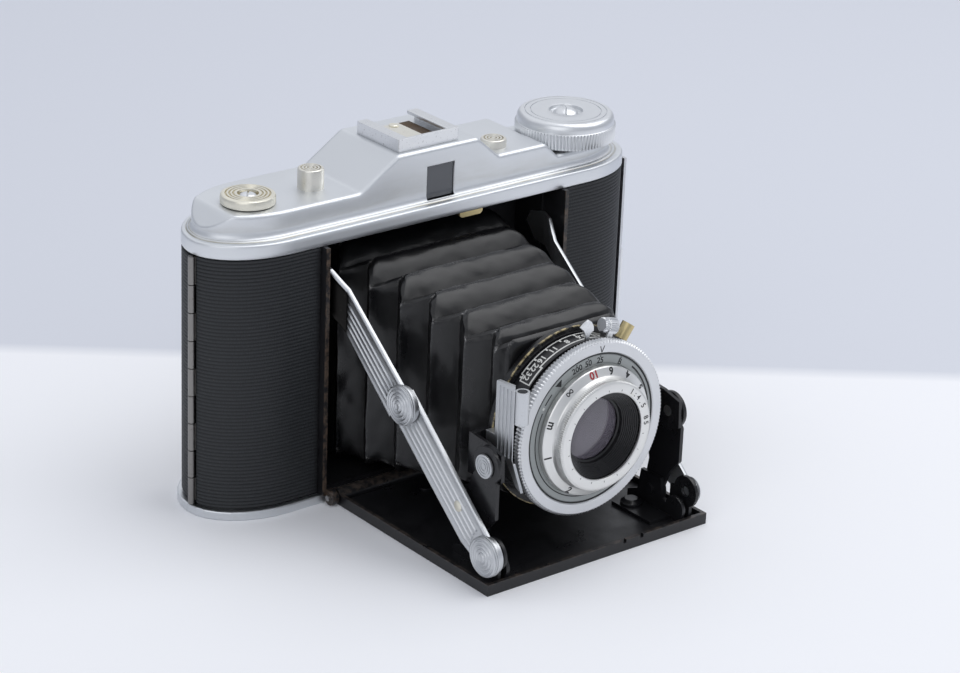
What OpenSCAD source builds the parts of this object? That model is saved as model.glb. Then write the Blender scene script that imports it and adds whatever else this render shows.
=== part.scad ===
// Self-erecting roll-film folding camera, shown open.
// Origin: centre of the underside of the base. +Z up, the lens looks along -Y.

/* [Casing] */
// Width of the casing without its hinge
body_w = 144.8; // [144.4:0.2:145.2]
// Twice the depth of the casing in front of the middle plane
body_d = 30; // [30:0.5:31]
// Extra depth of the casing behind the middle plane
back_more = 3; // [2.6:0.1:3.2]
// How far each rounded end reaches in from the side
end_reach = 22; // [18:1:24]
// Height of the underside of the top cover
case_top = 74.5; // [74.5:0.5:76]
// Thickness of the base plate
base_t = 2.5; // [2.2:0.1:2.6]
// Thickness of the pressed sheet metal
sheet_t = 1.2; // [1:0.1:1.3]
// Thickness of the leather covering
leather_t = 0.6; // [0.4:0.1:0.7]

/* [Front opening] */
// Half the width of the front opening
door_half = 40.2; // [40.2:0.1:40.6]
// How far the lips of the opening stand out
lip_out = 2; // [1:0.5:2]
// Distance of the film gate behind the middle plane
gate_y = 4; // [4:0.5:5]

/* [Top cover] */
// Height of the rim band of the top cover
band_h = 4.6; // [4:0.1:5]
// Level of the left shoulder
left_level = 85; // [84:0.5:86]
// Level of the finder housing
finder_level = 93.2; // [92:0.2:94]
// Level of the step beside the finder
step_level = 86.9; // [86:0.1:88]
// Level under the winding knob
right_level = 82.9; // [82:0.1:83]

/* [Controls] */
// Radius of the winding knob
knob_r = 14.3; // [13:0.1:14.5]
// Radius of the spool pull knob
pull_r = 7.4; // [6:0.1:8]
// Radius of the shutter release button
release_r = 3.6; // [3:0.1:4]
// Radius of the bed release button
bed_button_r = 3.65; // [3:0.05:4]

/* [Bed] */
// Half the width of the bed
bed_half = 37.8; // [37.4:0.1:37.8]
// Distance of the front edge of the bed from the casing front
bed_reach = 69.5; // [69:0.5:70]
// Height of the rim round the bed
bed_rim = 3.2; // [2.8:0.1:3.2]

/* [Lens and shutter] */
// Height of the lens axis
axis_z = 35.6; // [35.4:0.1:35.8]
// Radius of the knurled speed ring
ring_r = 24.55; // [24:0.05:24.6]
// Radius of the opening in front of the lens
bore_r = 12; // [11:0.1:12]
// How far the front of the lens stands out from the casing front
lens_reach = 69.6; // [69:0.1:69.8]

/* [Linkage] */
// How far the lens standard moves back when the bed closes
draw = 66.5; // [66:0.5:67]
// How much lower the lens standard sits when the bed is closed
drop = 3; // [2.5:0.5:3.5]
// Width of the strut arms
arm_w = 11; // [8:0.2:11.2]

/* [Hidden] */
$fn = 72;
eps = 0.05;
fit = 0.06;                         // running clearance of a shaft, on the radius
half_w = body_w / 2;
half_d = body_d / 2;
front_y = -half_d;
mid_x = -0.6;                       // the left end is a little further from the lens than the right
left_x = mid_x - half_w;
right_x = mid_x + half_w;
back_scale = 1 + back_more / half_d;
floor_z = base_t + sheet_t;         // inside floor of the casing
wall = leather_t + 0.1;             // the metal stands this far inside the band
end_steps = 16;

// Hinge line of the bed, as [y, z]
hinge = [front_y - 3.2, 2.2];
hinge_r = 2.2;
// Pivot of the side links on the lens standard, as [y, z]
link_top = [front_y - 60, 32];
// Pivot of the side links on the bed: the folded bed and the half turn of the link bring
// the standard back by `draw` and down by `drop`
link_sum = draw + 2 * (link_top[0] - hinge[0]);
link_diff = 2 * (link_top[1] - hinge[1]) - drop;
link_foot = [hinge[0] + (link_sum - link_diff) / 2, hinge[1] + (link_sum + link_diff) / 2];
// Strut pivots, as [y, z]
strut_body = [front_y + 6, 62.5];
strut_mid = [front_y - 30.9, 39.5];
strut_bed = [front_y - 66.1, 9.7];

// Layers beside the bellows, as distances from the middle plane
flange_x = [29.8, 30.9];
link_x = [31.05, 32.15];
ear_x = [32.5, 33.5];
lower_x = [33.65, 34.65];
upper_x = [34.8, 35.8];
upper_end_x = [38.4, 39.4];
rivet_r = 5.6;
pin_r = 1.5;

// Places on the top cover
knob_x = 53.3;
pull_x = -55;
release_x = -34.5;
bed_button_xy = [24.5, -3.5];
shoe_x = [-12.3, 8];
shoe_y = [front_y + 6.3, front_y + 25.3];
shoe_z = 93.5;
shoe_h = 3.3;
finder_x = [-4.1, 5.2];
finder_z = [78.8, 88.3];
upper_half_d = 12.4;
upper_mid_y = 1.6;
upper_half_w = 68.8;
upper_front = upper_mid_y - upper_half_d;
upper_back = upper_mid_y + upper_half_d * back_scale;
spool_h = 65;
spool_z = 4.6;
shaft_r = 2.5;
gate_mid_z = 36.5;
red_z = 36.5;

// Hinge of the back, at the left end
back_hinge = [left_x - 0.2, -0.8];
knuckle_r = 0.95;
back_pin_r = 0.45;
hinge_gap = 1.15;                   // from the hinge line to the edges of the walls beside it
knuckles = 9;
knuckle_z = 2.6;
knuckle_pitch = (case_top - 0.4 - knuckle_z) / knuckles;

// Cable release socket beside the shutter, seen from above
socket = [-25.3, -80];
socket_r = 1.9;

// Depths in front of the middle plane of the layers of the shutter
plate_h = [66, 67.5];
lens_front = lens_reach + half_d;
rise_h = 68.5;                      // front of the standard plate's rim
case_h = [68.5, 75.9];
scale_h = [68.6, 74.2];
cocking_h = [74.3, 75];
aperture_h = [75.2, 75.9];
ring_h = [76.1, 78.6];
face_h = [76.1, 78.3];
focus_h = 78.7;

// ---- helpers ----

function ellipse_end(mid, reach, half, a0) =
    [for (i = [0:end_steps]) let (a = a0 + 180 * i / end_steps) [mid + reach * cos(a), half * sin(a)]];

// Outline of the casing seen from above: straight sides with half-ellipse ends, deeper at the back
module plan(hw, hd, reach) {
    evened = concat(ellipse_end(hw - reach, reach, hd, -90), ellipse_end(reach - hw, reach, hd, 90));
    polygon([for (p = evened) [p[0] + mid_x, p[1] > 0 ? p[1] * back_scale : p[1]]]);
}

// Distance behind the middle plane of a back wall that far inside the outline
function back_at(inset) = (half_d - inset) * back_scale;

module slab(z0, z1) {
    translate([0, 0, z0]) linear_extrude(z1 - z0) children();
}

module box(x, y, z) {
    translate([x[0], y[0], z[0]]) cube([x[1] - x[0], y[1] - y[0], z[1] - z[0]]);
}

// A flat shape drawn in y and z, as thick as the range x
module side_plate(x) {
    translate([x[0], 0, 0]) rotate([90, 0, 90]) linear_extrude(x[1] - x[0]) children();
}

// A flat shape drawn in x and z, as thick as the range y
module front_plate(y) {
    translate([0, y[1], 0]) rotate([90, 0, 0]) linear_extrude(y[1] - y[0]) children();
}

module x_rod(r, x, at) {
    translate([x[0], at[0], at[1]]) rotate([0, 90, 0]) cylinder(r = r, h = x[1] - x[0]);
}

module x_tube(r, x, at) {
    translate([x[0], at[0], at[1]]) rotate([0, 90, 0]) ring(r[0], r[1], [0, x[1] - x[0]]);
}

module y_rod(r, y, at) {
    translate([at[0], y[1], at[1]]) rotate([90, 0, 0]) cylinder(r = r, h = y[1] - y[0]);
}

// Places a shape round the lens axis; its height is the distance in front of the middle plane
module on_axis() {
    translate([0, 0, axis_z]) rotate([90, 0, 0]) children();
}

module ring(r0, r1, h) {
    translate([0, 0, h[0]]) difference() {
        cylinder(r = r1, h = h[1] - h[0]);
        translate([0, 0, -1]) cylinder(r = r0, h = h[1] - h[0] + 2);
    }
}

// Outline with fine teeth, as on a knurled edge
module knurl(r, depth, teeth) {
    polygon([for (i = [0:2 * teeth - 1]) let (a = 180 * i / teeth, q = r - depth * (i % 2))
        [q * cos(a), q * sin(a)]]);
}

function half_round(at, r, a0) =
    [for (i = [0:end_steps]) let (a = a0 + 180 * i / end_steps) at + r * [cos(a), sin(a)]];

// A bar with round ends between two points
module bar(p, q, w) {
    turn = atan2(q[1] - p[1], q[0] - p[0]);
    polygon(concat(half_round(q, w / 2, turn - 90), half_round(p, w / 2, turn + 90)));
}

// A stepped rivet head that stands out along +x
module stepped_head(r, x, at) {
    steps = 4;
    for (i = [0:steps - 1])
        x_rod(r - 1.35 * i, [x[0], x[0] + (x[1] - x[0]) * (i + 1) / steps], at);
}

module left_side() {
    mirror([1, 0, 0]) children();
}

module both_sides() {
    children();
    mirror([1, 0, 0]) children();
}

// ---- casing ----

module case_ring(z0, z1, out, t) {
    slab(z0, z1) difference() {
        plan(half_w - out, half_d - out, end_reach);
        plan(half_w - out - t, half_d - out - t, end_reach - t);
    }
}

module body_shell() {
    color("dimgray") difference() {
        union() {
            intersection() {
                case_ring(base_t, case_top, wall, sheet_t);
                box([-80, 80], [-20, back_hinge[1] - hinge_gap], [0, 80]);
            }
            slab(base_t, floor_z) plan(half_w - 2, half_d - 2, end_reach);
            slab(case_top, case_top + sheet_t) plan(half_w - 2, half_d - 2, end_reach);
            box([-door_half - sheet_t, -door_half], [front_y - lip_out, gate_y], [base_t + 0.1, case_top]);
            box([door_half, door_half + sheet_t], [front_y - lip_out, -7], [base_t + 0.1, case_top]);
            box([door_half - 0.4, door_half + 0.2], [-7.4, gate_y], [floor_z - eps, case_top]);
            both_sides() bed_lug();
        }
        box([-door_half, door_half], [front_y - 1, front_y + 4], [floor_z, case_top]);
        both_sides() x_rod(0.8 + eps / 5, [36, door_half + sheet_t + 1], hinge);
        both_sides() x_rod(pin_r + fit, [39, door_half + sheet_t + 1], strut_body);
        translate([knob_x, 0, 70]) cylinder(r = shaft_r + fit, h = 10);
        translate([pull_x, 0, 70]) cylinder(r = shaft_r + fit, h = 10);
        box([-5.8, 5.8], [front_y - 2, front_y + 13.6], [base_t - 1, floor_z + 1]);
        translate([release_x, 0.5, 70]) cylinder(r = 2.2, h = 10);
        translate([bed_button_xy[0], bed_button_xy[1], 70]) cylinder(r = 2.2, h = 10);
        box([7.5, 16.5], [-11.5, -7.5], [case_top - 1, case_top + 2]);
    }
}

// Ear that carries one end of the bed hinge pin
module bed_lug() {
    x_rod(hinge_r - 0.1, [bed_half + 0.4, door_half + eps], hinge);
    box([bed_half + 0.4, door_half + eps], [hinge[0], front_y + 2.2], [base_t + 0.1, floor_z + 0.5]);
}

module base_plate() {
    base_out = 1;
    color("silver") difference() {
        slab(0, base_t) plan(half_w + base_out, half_d + base_out, end_reach);
        box([-door_half, door_half], [-20, front_y - 0.6], [-1, 5]);
        translate([0, front_y + 8, -1]) cylinder(r = 5.5, h = 5);
    }
}

module tripod_bush() {
    color("darkgray") difference() {
        translate([0, front_y + 8, 0]) cylinder(r = 5.5, h = 5.4);
        translate([0, front_y + 8, -1]) cylinder(r = 3.175, h = 8);
    }
}

module front_leather(x) {
    intersection() {
        case_ring(base_t + 0.4, case_top - 0.2, 0.1, leather_t);
        box(x, [-20, back_hinge[1] - hinge_gap], [0, 80]);
    }
}

module leather_right() {
    color([0.09, 0.09, 0.09]) front_leather([door_half + sheet_t + 0.4, 80]);
}

module leather_left() {
    color([0.09, 0.09, 0.09]) front_leather([-80, -door_half - sheet_t - 0.4]);
}

module film_gate() {
    window = 28;
    rail = 0.5;
    plate_x = door_half - 0.6;
    color([0.2, 0.2, 0.2]) union() {
        difference() {
            box([-plate_x, plate_x], [gate_y, gate_y + 1], [floor_z, case_top]);
            box([-window, window], [gate_y - 1, gate_y + 2], [gate_mid_z - window, gate_mid_z + window]);
        }
        for (z = [gate_mid_z - window - 2.2, gate_mid_z + window + 1.2])
            box([-38, 38], [gate_y + 1 - eps, gate_y + 1 + rail], [z, z + 1]);
    }
}

module lower_spool_pins() {
    color("silver") {
        translate([knob_x, 0, floor_z]) cylinder(r = 2.4, h = spool_z + 2.4 - floor_z);
        translate([pull_x, 0, floor_z]) cylinder(r = 2.4, h = spool_z + 2.4 - floor_z);
    }
}

// ---- top cover ----

// Front view of the stepped housing, lowered and narrowed by t on the inside
module housing_profile(t) {
    left = -67.5 + t;
    right = 67.8 - t;
    polygon([[left, case_top], [left, left_level - 1.6 - t], [left + 1.8, left_level - t],
        [-26 + t / 2, left_level - t], [-13.5 + t / 2, finder_level - t], [13.4 - t / 2, finder_level - t],
        [20.8 - t / 2, step_level - t], [37.5 - t / 2, step_level - t], [41.9 - t / 2, right_level - t],
        [right - 1.4, right_level - t], [right, right_level - 1.4 - t], [right, case_top]]);
}

module housing(t, z0) {
    intersection() {
        front_plate([-20, 20]) housing_profile(t);
        translate([0, upper_mid_y, 0]) slab(z0, 100) plan(upper_half_w - t, upper_half_d - t, 20 - t);
    }
}

// Round step round the winding knob, wider by t
module knob_recess(t, z) {
    translate([knob_x, 0, z]) cylinder(r = knob_r + 0.7 + t, h = 20);
}

module top_cover() {
    band_top = case_top + band_h;
    color("gainsboro") difference() {
        union() {
            slab(case_top, band_top) plan(half_w, half_d, end_reach);
            housing(0, band_top - 1);
        }
        slab(case_top - 1, band_top - sheet_t) plan(half_w - sheet_t, half_d - sheet_t, end_reach - sheet_t);
        difference() {
            housing(sheet_t, band_top - sheet_t - 1);
            knob_recess(sheet_t, right_level - sheet_t);
        }
        knob_recess(0, right_level);
        box(finder_x, [-20, 20], finder_z);
        translate([knob_x, 0, 70]) cylinder(r = shaft_r + fit, h = 20);
        translate([pull_x, 0, 70]) cylinder(r = shaft_r + fit, h = 20);
        translate([release_x, 0.5, 70]) cylinder(r = release_r + fit, h = 20);
        translate([bed_button_xy[0], bed_button_xy[1], 70]) cylinder(r = bed_button_r + fit, h = 20);
    }
}

module finder_pane(y) {
    color([0.3, 0.35, 0.4, 0.5]) box(finder_x, y, finder_z);
}

module finder_front_glass() {
    finder_pane([upper_front + 0.4, upper_front + 1.2]);
}

module finder_rear_glass() {
    finder_pane([upper_back - 1.3, upper_back - 0.5]);
}

module finder_tube() {
    y = [upper_front + 1.3, upper_back - sheet_t * back_scale - 0.1];
    t = 0.6;
    color([0.1, 0.1, 0.1]) difference() {
        box([finder_x[0] - t, finder_x[1] + t], y, [finder_z[0] - t, finder_z[1] + t]);
        box(finder_x, [y[0] - 1, y[1] + 1], finder_z);
    }
}

module accessory_shoe() {
    lip = 1.1;
    slot_half = 9.3;
    mid = (shoe_x[0] + shoe_x[1]) / 2;
    color("silver") difference() {
        box(shoe_x, shoe_y, [finder_level, shoe_z + shoe_h]);
        box([mid - slot_half, mid + slot_half], [shoe_y[0] + 1.2, 20], [shoe_z + 0.6, shoe_z + shoe_h - 0.9]);
        box([mid - slot_half + 2.6, mid + slot_half - 2.6], [shoe_y[0] + 1.2, 20], [shoe_z + 0.6, 99]);
        for (x = [mid - 4, mid + 4])
            translate([x, shoe_y[0] + 5, 90]) cylinder(r = 0.8, h = 5);
    }
}

module shoe_spring() {
    mid = (shoe_x[0] + shoe_x[1]) / 2;
    z = shoe_z + 0.6;
    color("darkgray") union() {
        box([mid - 5, mid + 5], [shoe_y[0] + 8, shoe_y[1] - 1.5], [z, z + 0.4]);
        for (x = [mid - 3.6, mid - 0.4, mid + 2.8])
            box([x, x + 0.8], [shoe_y[0] + 9, shoe_y[1] - 2], [z + 0.4 - eps, z + 0.7]);
    }
}

module shoe_rivets() {
    mid = (shoe_x[0] + shoe_x[1]) / 2;
    color("silver") for (x = [mid - 4, mid + 4]) translate([x, shoe_y[0] + 5, 0]) {
        translate([0, 0, finder_level]) cylinder(r = 0.8, h = 1);
        translate([0, 0, shoe_z + 0.6]) cylinder(r = 1.5, h = 0.5);
    }
}

// ---- film transport ----

// Outline of the knob above its knurled band: a round shoulder up to a flat top
function knob_shoulder(z) =
    [[0, z - 0.5], [knob_r - 0.5, z - 0.5], [knob_r - 0.5, z + 0.6], [knob_r - 0.9, z + 1.7],
     [knob_r - 1.7, z + 2.5], [knob_r - 2.9, z + 3], [knob_r - 4.2, z + 3.2], [0, z + 3.2]];

module winding_knob() {
    grip_h = 4.4;
    top_z = grip_h + 3.2;
    color("gainsboro") translate([knob_x, 0, right_level + 0.6]) difference() {
        union() {
            linear_extrude(grip_h) knurl(knob_r, 0.35, 90);
            rotate_extrude($fn = 96) polygon(knob_shoulder(grip_h));
        }
        translate([0, 0, top_z - 0.3]) ring(9.9, 10.5, [0, 2]);
        translate([0, 0, top_z - 1.2]) cylinder(r = 4.9, h = 3);
        translate([0, 0, -1]) cylinder(r = shaft_r, h = 20);
    }
}

module slotted_screw(r, z0, h, slot) {
    difference() {
        translate([0, 0, z0]) cylinder(r = r, h = h);
        translate([0, 0, z0 + h]) cube([slot, 3 * r, 1.2], center = true);
    }
}

module winding_screw() {
    z0 = right_level + 0.6 + 6.4;
    color("silver") translate([knob_x, 0, 0]) slotted_screw(3.4, z0, 1.2, 0.7);
}

module winding_shaft() {
    key_z = spool_z + spool_h - 2.4;
    top = right_level + 6.4;
    color("silver") translate([knob_x, 0, 0]) {
        translate([0, 0, key_z + 2.6]) cylinder(r = shaft_r, h = top - key_z - 2.6);
        translate([-0.6, -4, key_z]) cube([1.2, 8, 2.6 + eps]);
    }
}

module takeup_spool() {
    flange_r = 12.5;
    core_r = 5.6;
    flange_t = 1.2;
    color([0.12, 0.12, 0.12]) translate([knob_x, 0, spool_z]) difference() {
        union() {
            cylinder(r = core_r, h = spool_h);
            cylinder(r = flange_r, h = flange_t);
            translate([0, 0, spool_h - flange_t]) cylinder(r = flange_r, h = flange_t);
        }
        translate([0, 0, -1]) cylinder(r = 2.4 + fit, h = 4);
        translate([-0.6, -4, spool_h - 2.4]) cube([1.2, 8, 4]);
        translate([0, 0, spool_h / 2]) cube([20, 1.2, 45], center = true);
    }
}

module supply_knob() {
    stem_z = spool_z + spool_h - 2;
    color("wheat") translate([pull_x, 0, 0]) difference() {
        union() {
            translate([0, 0, left_level + 0.2]) cylinder(r = pull_r, h = 2);
            translate([0, 0, left_level + 2.2 - eps]) cylinder(r1 = pull_r, r2 = pull_r - 0.6, h = 0.6);
            translate([0, 0, stem_z]) cylinder(r = shaft_r, h = left_level + 1 - stem_z);
        }
        for (r = [3.6, 5])
            translate([0, 0, left_level + 2.4]) ring(r, r + 0.6, [0, 2]);
        translate([0, 0, left_level + 1.6]) cylinder(r = 2.7, h = 3);
    }
}

module supply_screw() {
    color("silver") translate([pull_x, 0, 0]) slotted_screw(2.7, left_level + 1.6, 1.1, 0.6);
}

module push_button(r, z0, z1) {
    difference() {
        translate([0, 0, z0]) cylinder(r = r, h = z1 - z0);
        for (q = [0.9, 1.9])
            translate([0, 0, z1 - 0.3]) ring(q, q + 0.4, [0, 1]);
    }
}

module release_button() {
    color("silver") translate([release_x, 0.5, 0]) union() {
        push_button(release_r, 80, 90.7);
        translate([0, 0, case_top + 0.2]) cylinder(r = 2, h = 80 + eps - case_top - 0.2);
    }
}

module bed_button() {
    color("silver") translate([bed_button_xy[0], bed_button_xy[1], 0]) union() {
        push_button(bed_button_r, 81, 89.2);
        translate([0, 0, case_top + 0.2]) cylinder(r = 2, h = 81 + eps - case_top - 0.2);
    }
}

module latch_hook() {
    low = 70.9;
    corner = 1.2;
    color("goldenrod") union() {
        front_plate([-10.4, -9.4]) {
            translate([8 + corner, low]) square([8 - 2 * corner, case_top + 1 - low]);
            translate([8, low + corner]) square([8, case_top + 1 - low - corner]);
            translate([8 + corner, low + corner]) circle(r = corner);
            translate([16 - corner, low + corner]) circle(r = corner);
        }
        x_rod(0.7, [8.2, 15.8], [-9.9, case_top + 0.5]);
    }
}

// ---- back ----

module back_cover() {
    z0 = base_t + 0.2;
    z1 = case_top - 0.2;
    strip_x = [right_x + 0.4, right_x + 1.3];
    color("dimgray") difference() {
        union() {
            intersection() {
                case_ring(z0, z1, wall, sheet_t);
                box([-80, 80], [back_hinge[1] + hinge_gap, 20], [0, 80]);
            }
            box(strip_x, [back_hinge[1] - 4, back_hinge[1] + 3], [z0, z1]);
            box([right_x - 2, strip_x[1]], [back_hinge[1] + 1.8, back_hinge[1] + 3], [z0, z1]);
        }
        y_rod(4.2, [8, 20], [0, red_z]);
    }
}

module back_leather() {
    color([0.09, 0.09, 0.09]) difference() {
        intersection() {
            case_ring(base_t + 0.8, case_top - 0.8, 0.1, leather_t);
            box([-80, right_x - 2.6], [back_hinge[1] + hinge_gap + 0.2, 20], [0, 80]);
        }
        y_rod(5.2, [8, 20], [0, red_z]);
    }
}

module pressure_plate() {
    leaf_y = back_at(wall + sheet_t);
    color("darkgray") union() {
        box([-31, 31], [gate_y + 2.2, gate_y + 3], [gate_mid_z - 29, gate_mid_z + 29]);
        for (z = [gate_mid_z - 22, gate_mid_z + 16])
            box([-20, 20], [leaf_y - 0.4, leaf_y], [z, z + 6]);
        for (z = [gate_mid_z - 22, gate_mid_z + 16], x = [-6, 5.6])
            box([x, x + 0.4], [gate_y + 3 - eps, leaf_y - 0.4 + eps], [z, z + 6]);
    }
}

module red_window() {
    color([0.6, 0.05, 0.05, 0.7]) y_rod(4.15, [back_at(wall + sheet_t), back_at(wall + 0.2)], [0, red_z]);
}

// Knuckles of one leaf of the back hinge: every second one, starting at first
module knuckle_row(first) {
    gap = 0.1;
    for (i = [first:2:knuckles - 1])
        translate([back_hinge[0], back_hinge[1], knuckle_z + i * knuckle_pitch + gap])
            cylinder(r = knuckle_r, h = knuckle_pitch - 2 * gap);
}

// A leaf runs from its web, in the gap between the walls, along the inside of the casing
module hinge_leaf(first, web_y, leaf_y) {
    leaf_in = wall + sheet_t + 0.1;
    color("silver") difference() {
        union() {
            knuckle_row(first);
            for (i = [first:2:knuckles - 1]) {
                z = [max(knuckle_z + i * knuckle_pitch, floor_z) + 0.1, knuckle_z + (i + 1) * knuckle_pitch - 0.1];
                box([back_hinge[0] + knuckle_r - 0.3, left_x + leaf_in + 0.4], web_y, z);
                intersection() {
                    case_ring(z[0], z[1], leaf_in, 0.5);
                    box([-80, -60], leaf_y, [0, 80]);
                }
            }
        }
        translate([back_hinge[0], back_hinge[1], 0]) cylinder(r = back_pin_r + fit / 2, h = 90, $fn = 24);
    }
}

module hinge_body_leaf() {
    y = back_hinge[1];
    hinge_leaf(0, [y - 0.95, y - 0.4], [y - 4.5, y - 0.4]);
}

module hinge_back_leaf() {
    y = back_hinge[1];
    hinge_leaf(1, [y + 0.4, y + 0.95], [y + 0.4, y + 4.5]);
}

module back_hinge_pin() {
    color("silver") translate([back_hinge[0], back_hinge[1], knuckle_z])
        cylinder(r = back_pin_r, h = knuckles * knuckle_pitch, $fn = 24);
}

module back_latch() {
    x = right_x + 1.35;
    color("silver") union() {
        box([x, x + 0.8], [back_hinge[1] - 3.6, back_hinge[1] + 2.4], [30, 46]);
        for (z = [34:1.6:41])
            box([x + 0.8 - eps, x + 1.3], [back_hinge[1] - 3, back_hinge[1] + 1.8], [z, z + 0.8]);
    }
}

// ---- bed ----

module bed_plate() {
    rim_t = 1.1;
    y0 = front_y - bed_reach;
    color([0.07, 0.07, 0.07]) difference() {
        union() {
            box([-bed_half, bed_half], [y0, hinge[0]], [0.5, 1.5]);
            both_sides() box([bed_half - rim_t, bed_half], [y0, hinge[0]], [0, bed_rim]);
            box([-bed_half, bed_half], [y0, y0 + rim_t], [0, bed_rim]);
            x_rod(hinge_r, [-bed_half, bed_half], hinge);
        }
        x_rod(0.8 + fit, [-bed_half - 1, bed_half + 1], hinge);
        for (x = [8, 14])
            box([x, x + 1.2], [y0 - 1, y0 + rim_t + 1], [bed_rim - 0.9, bed_rim + 1]);
    }
}

module bed_leather() {
    y0 = front_y - bed_reach + 1.3;
    color([0.09, 0.09, 0.09]) box([1.3 - bed_half, bed_half - 1.3], [y0, hinge[0] - hinge_r - 0.2], [0, 0.5]);
}

module bed_brackets() {
    foot = [[-13, 1.5], [9, 1.5], [9, 3.4], [5, 5.2], [4, 11.5], [-4, 11.5], [-5, 6], [-10, 4.6], [-13, 4]];
    lobe = [link_foot[0] - 10, 5];
    color([0.1, 0.1, 0.1]) both_sides() {
        difference() {
            union() {
                side_plate(flange_x) {
                    translate([link_foot[0], 0]) polygon(foot);
                    translate(lobe) circle(r = 3.4);
                }
                box([22.4, flange_x[1]], [link_foot[0] - 9, link_foot[0] + 7], [1.5, 2.4]);
            }
            x_rod(pin_r + fit, [20, 40], link_foot);
        }
        difference() {
            union() {
                side_plate(ear_x) {
                    translate(strut_bed) circle(r = 4.4);
                    translate([strut_bed[0] - 2, 1.5]) square([8, strut_bed[1] - 1.5]);
                }
                box([ear_x[0] - 2, ear_x[1]], [strut_bed[0] - 2, strut_bed[0] + 6], [1.5, 2.3]);
            }
            x_rod(pin_r + fit, [30, 40], strut_bed);
        }
    }
}

module bed_hinge_pin() {
    color("silver") x_rod(0.8, [-door_half - 0.6, door_half + 0.6], hinge);
}

module bed_rivets() {
    color("silver") {
        both_sides() x_rod(pin_r, [flange_x[0] - 0.6, link_x[1] + 0.4], link_foot);
        both_sides() translate([26, front_y - 52, 2.4]) {
            cylinder(r = 3, h = 0.7);
            translate([0, 0, 0.7 - eps]) cylinder(r1 = 3, r2 = 1.8, h = 0.9);
        }
        for (x = [-14, 14])
            translate([x, front_y - 12, 1.5]) cylinder(r = 1.6, h = 0.6);
    }
}

// ---- side links and lens standard ----

module link() {
    // The web between the two pivots, as [y, z] from the casing front
    web = [[-55, 28.5], [-53.2, 24.4], [-50.8, 22.8], [-51.2, 20.4], [-52.6, 15], [-51.6, 9.5],
        [-55, 4], [-58.6, 8], [-60.6, 13.6], [-64.4, 18], [-64.4, 28], [-60, 33]];
    color([0.08, 0.08, 0.08]) difference() {
        side_plate(link_x) {
            translate([front_y, 0]) polygon(web);
            translate(link_top) circle(r = 5.2);
            translate(link_foot) circle(r = 4.2);
        }
        x_rod(pin_r + fit, [20, 40], link_foot);
        x_rod(pin_r + fit, [20, 40], link_top);
    }
}

module link_right() {
    link();
}

module link_left() {
    left_side() link();
}

// Outline of one ear of the standard, that runs forward to the link pivot
module standard_ear() {
    polygon([[-plate_h[0], 26.5], [-plate_h[0], 38], [link_top[0] + 2, 37.5],
        [link_top[0] - 4.4, 36], [link_top[0] - 4.8, 28.5], [link_top[0] - 1, 26.5]]);
}

module standard_plate() {
    rim_r = 25.3;
    disc_r = 24.7;
    color([0.06, 0.06, 0.06]) union() {
        difference() {
            union() {
                on_axis() translate([0, 0, plate_h[0]]) cylinder(r = disc_r, h = plate_h[1] - plate_h[0]);
                on_axis() translate([0, 0, plate_h[1] - eps]) cylinder(r = rim_r, h = rise_h - plate_h[1] + eps);
                box([-flange_x[1], flange_x[1]], [-plate_h[1], -plate_h[0]], [26.5, 38]);
            }
            on_axis() translate([0, 0, 60]) cylinder(r = 13, h = 20);
        }
        both_sides() difference() {
            side_plate(flange_x) standard_ear();
            x_rod(pin_r, [20, 40], link_top);
        }
    }
}

module standard_rivets() {
    color("silver") both_sides() {
        x_rod(pin_r, [flange_x[0], link_x[1] + 0.2], link_top);
        difference() {
            x_rod(3.2, [link_x[1] + 0.2, link_x[1] + 1], link_top);
            for (r = [0.8, 1.6, 2.4])
                x_tube([r, r + 0.35], [link_x[1] + 0.75, link_x[1] + 2], link_top);
        }
    }
}

// ---- shutter and lens ----

module shutter_case() {
    color([0.08, 0.08, 0.08]) on_axis() ring(9.8, 19.6, case_h);
}

module aperture_scale() {
    color([0.06, 0.06, 0.06]) on_axis() union() {
        ring(23.2, ring_r - 0.15, scale_h);
        ring(19.7, 23.2 + eps, [scale_h[0], scale_h[0] + 1]);
    }
}

module speed_ring() {
    color("silver") on_axis() translate([0, 0, ring_h[0]]) difference() {
        linear_extrude(ring_h[1] - ring_h[0]) knurl(ring_r, 0.3, 120);
        translate([0, 0, -1]) cylinder(r = 21, h = 10);
    }
}

module face_plate() {
    color([0.6, 0.63, 0.61]) on_axis() difference() {
        ring(9.8, 20.8, face_h);
        for (a = [200:10:250])
            rotate(a) translate([20, 0, face_h[1] - 0.4]) cylinder(r = 0.3, h = 1, $fn = 16);
    }
}

module focus_ring() {
    h = focus_h;
    color("gainsboro") on_axis() rotate_extrude() polygon([[12.4, h], [18, h], [18, h + 1.9], [15.6, h + 3.4],
        [15.3, h + 3.4], [15.3, lens_front - 0.5], [14.8, lens_front], [bore_r, lens_front],
        [bore_r, lens_front - 0.6], [12.4, lens_front - 1]]);
}

module lens_cell() {
    color([0.05, 0.05, 0.05]) on_axis() rotate_extrude() polygon([[9.6, 74], [9.6, focus_h - 0.1],
        [12.3, focus_h - 0.1], [12.3, lens_front - 1.1], [11.9, lens_front - 1.1], [10.6, lens_front - 2.6],
        [8.6, lens_front - 4.8], [8.6, lens_front - 5.4], [9, lens_front - 5.4], [9, 74]]);
}

// A lens element with two curved faces; h is the depth of its two rims
module lens_element(r, h, bulge) {
    steps = 8;
    front = [for (i = [0:steps]) let (q = r * i / steps) [q, h[1] + bulge * (1 - q * q / (r * r))]];
    back = [for (i = [steps:-1:0]) let (q = r * i / steps) [q, h[0] - bulge * (1 - q * q / (r * r))]];
    rotate_extrude() polygon(concat(front, back));
}

module front_lens() {
    color([0.35, 0.33, 0.4, 0.5]) on_axis() lens_element(8.9, [76.4, 78.2], 0.7);
}

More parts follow.
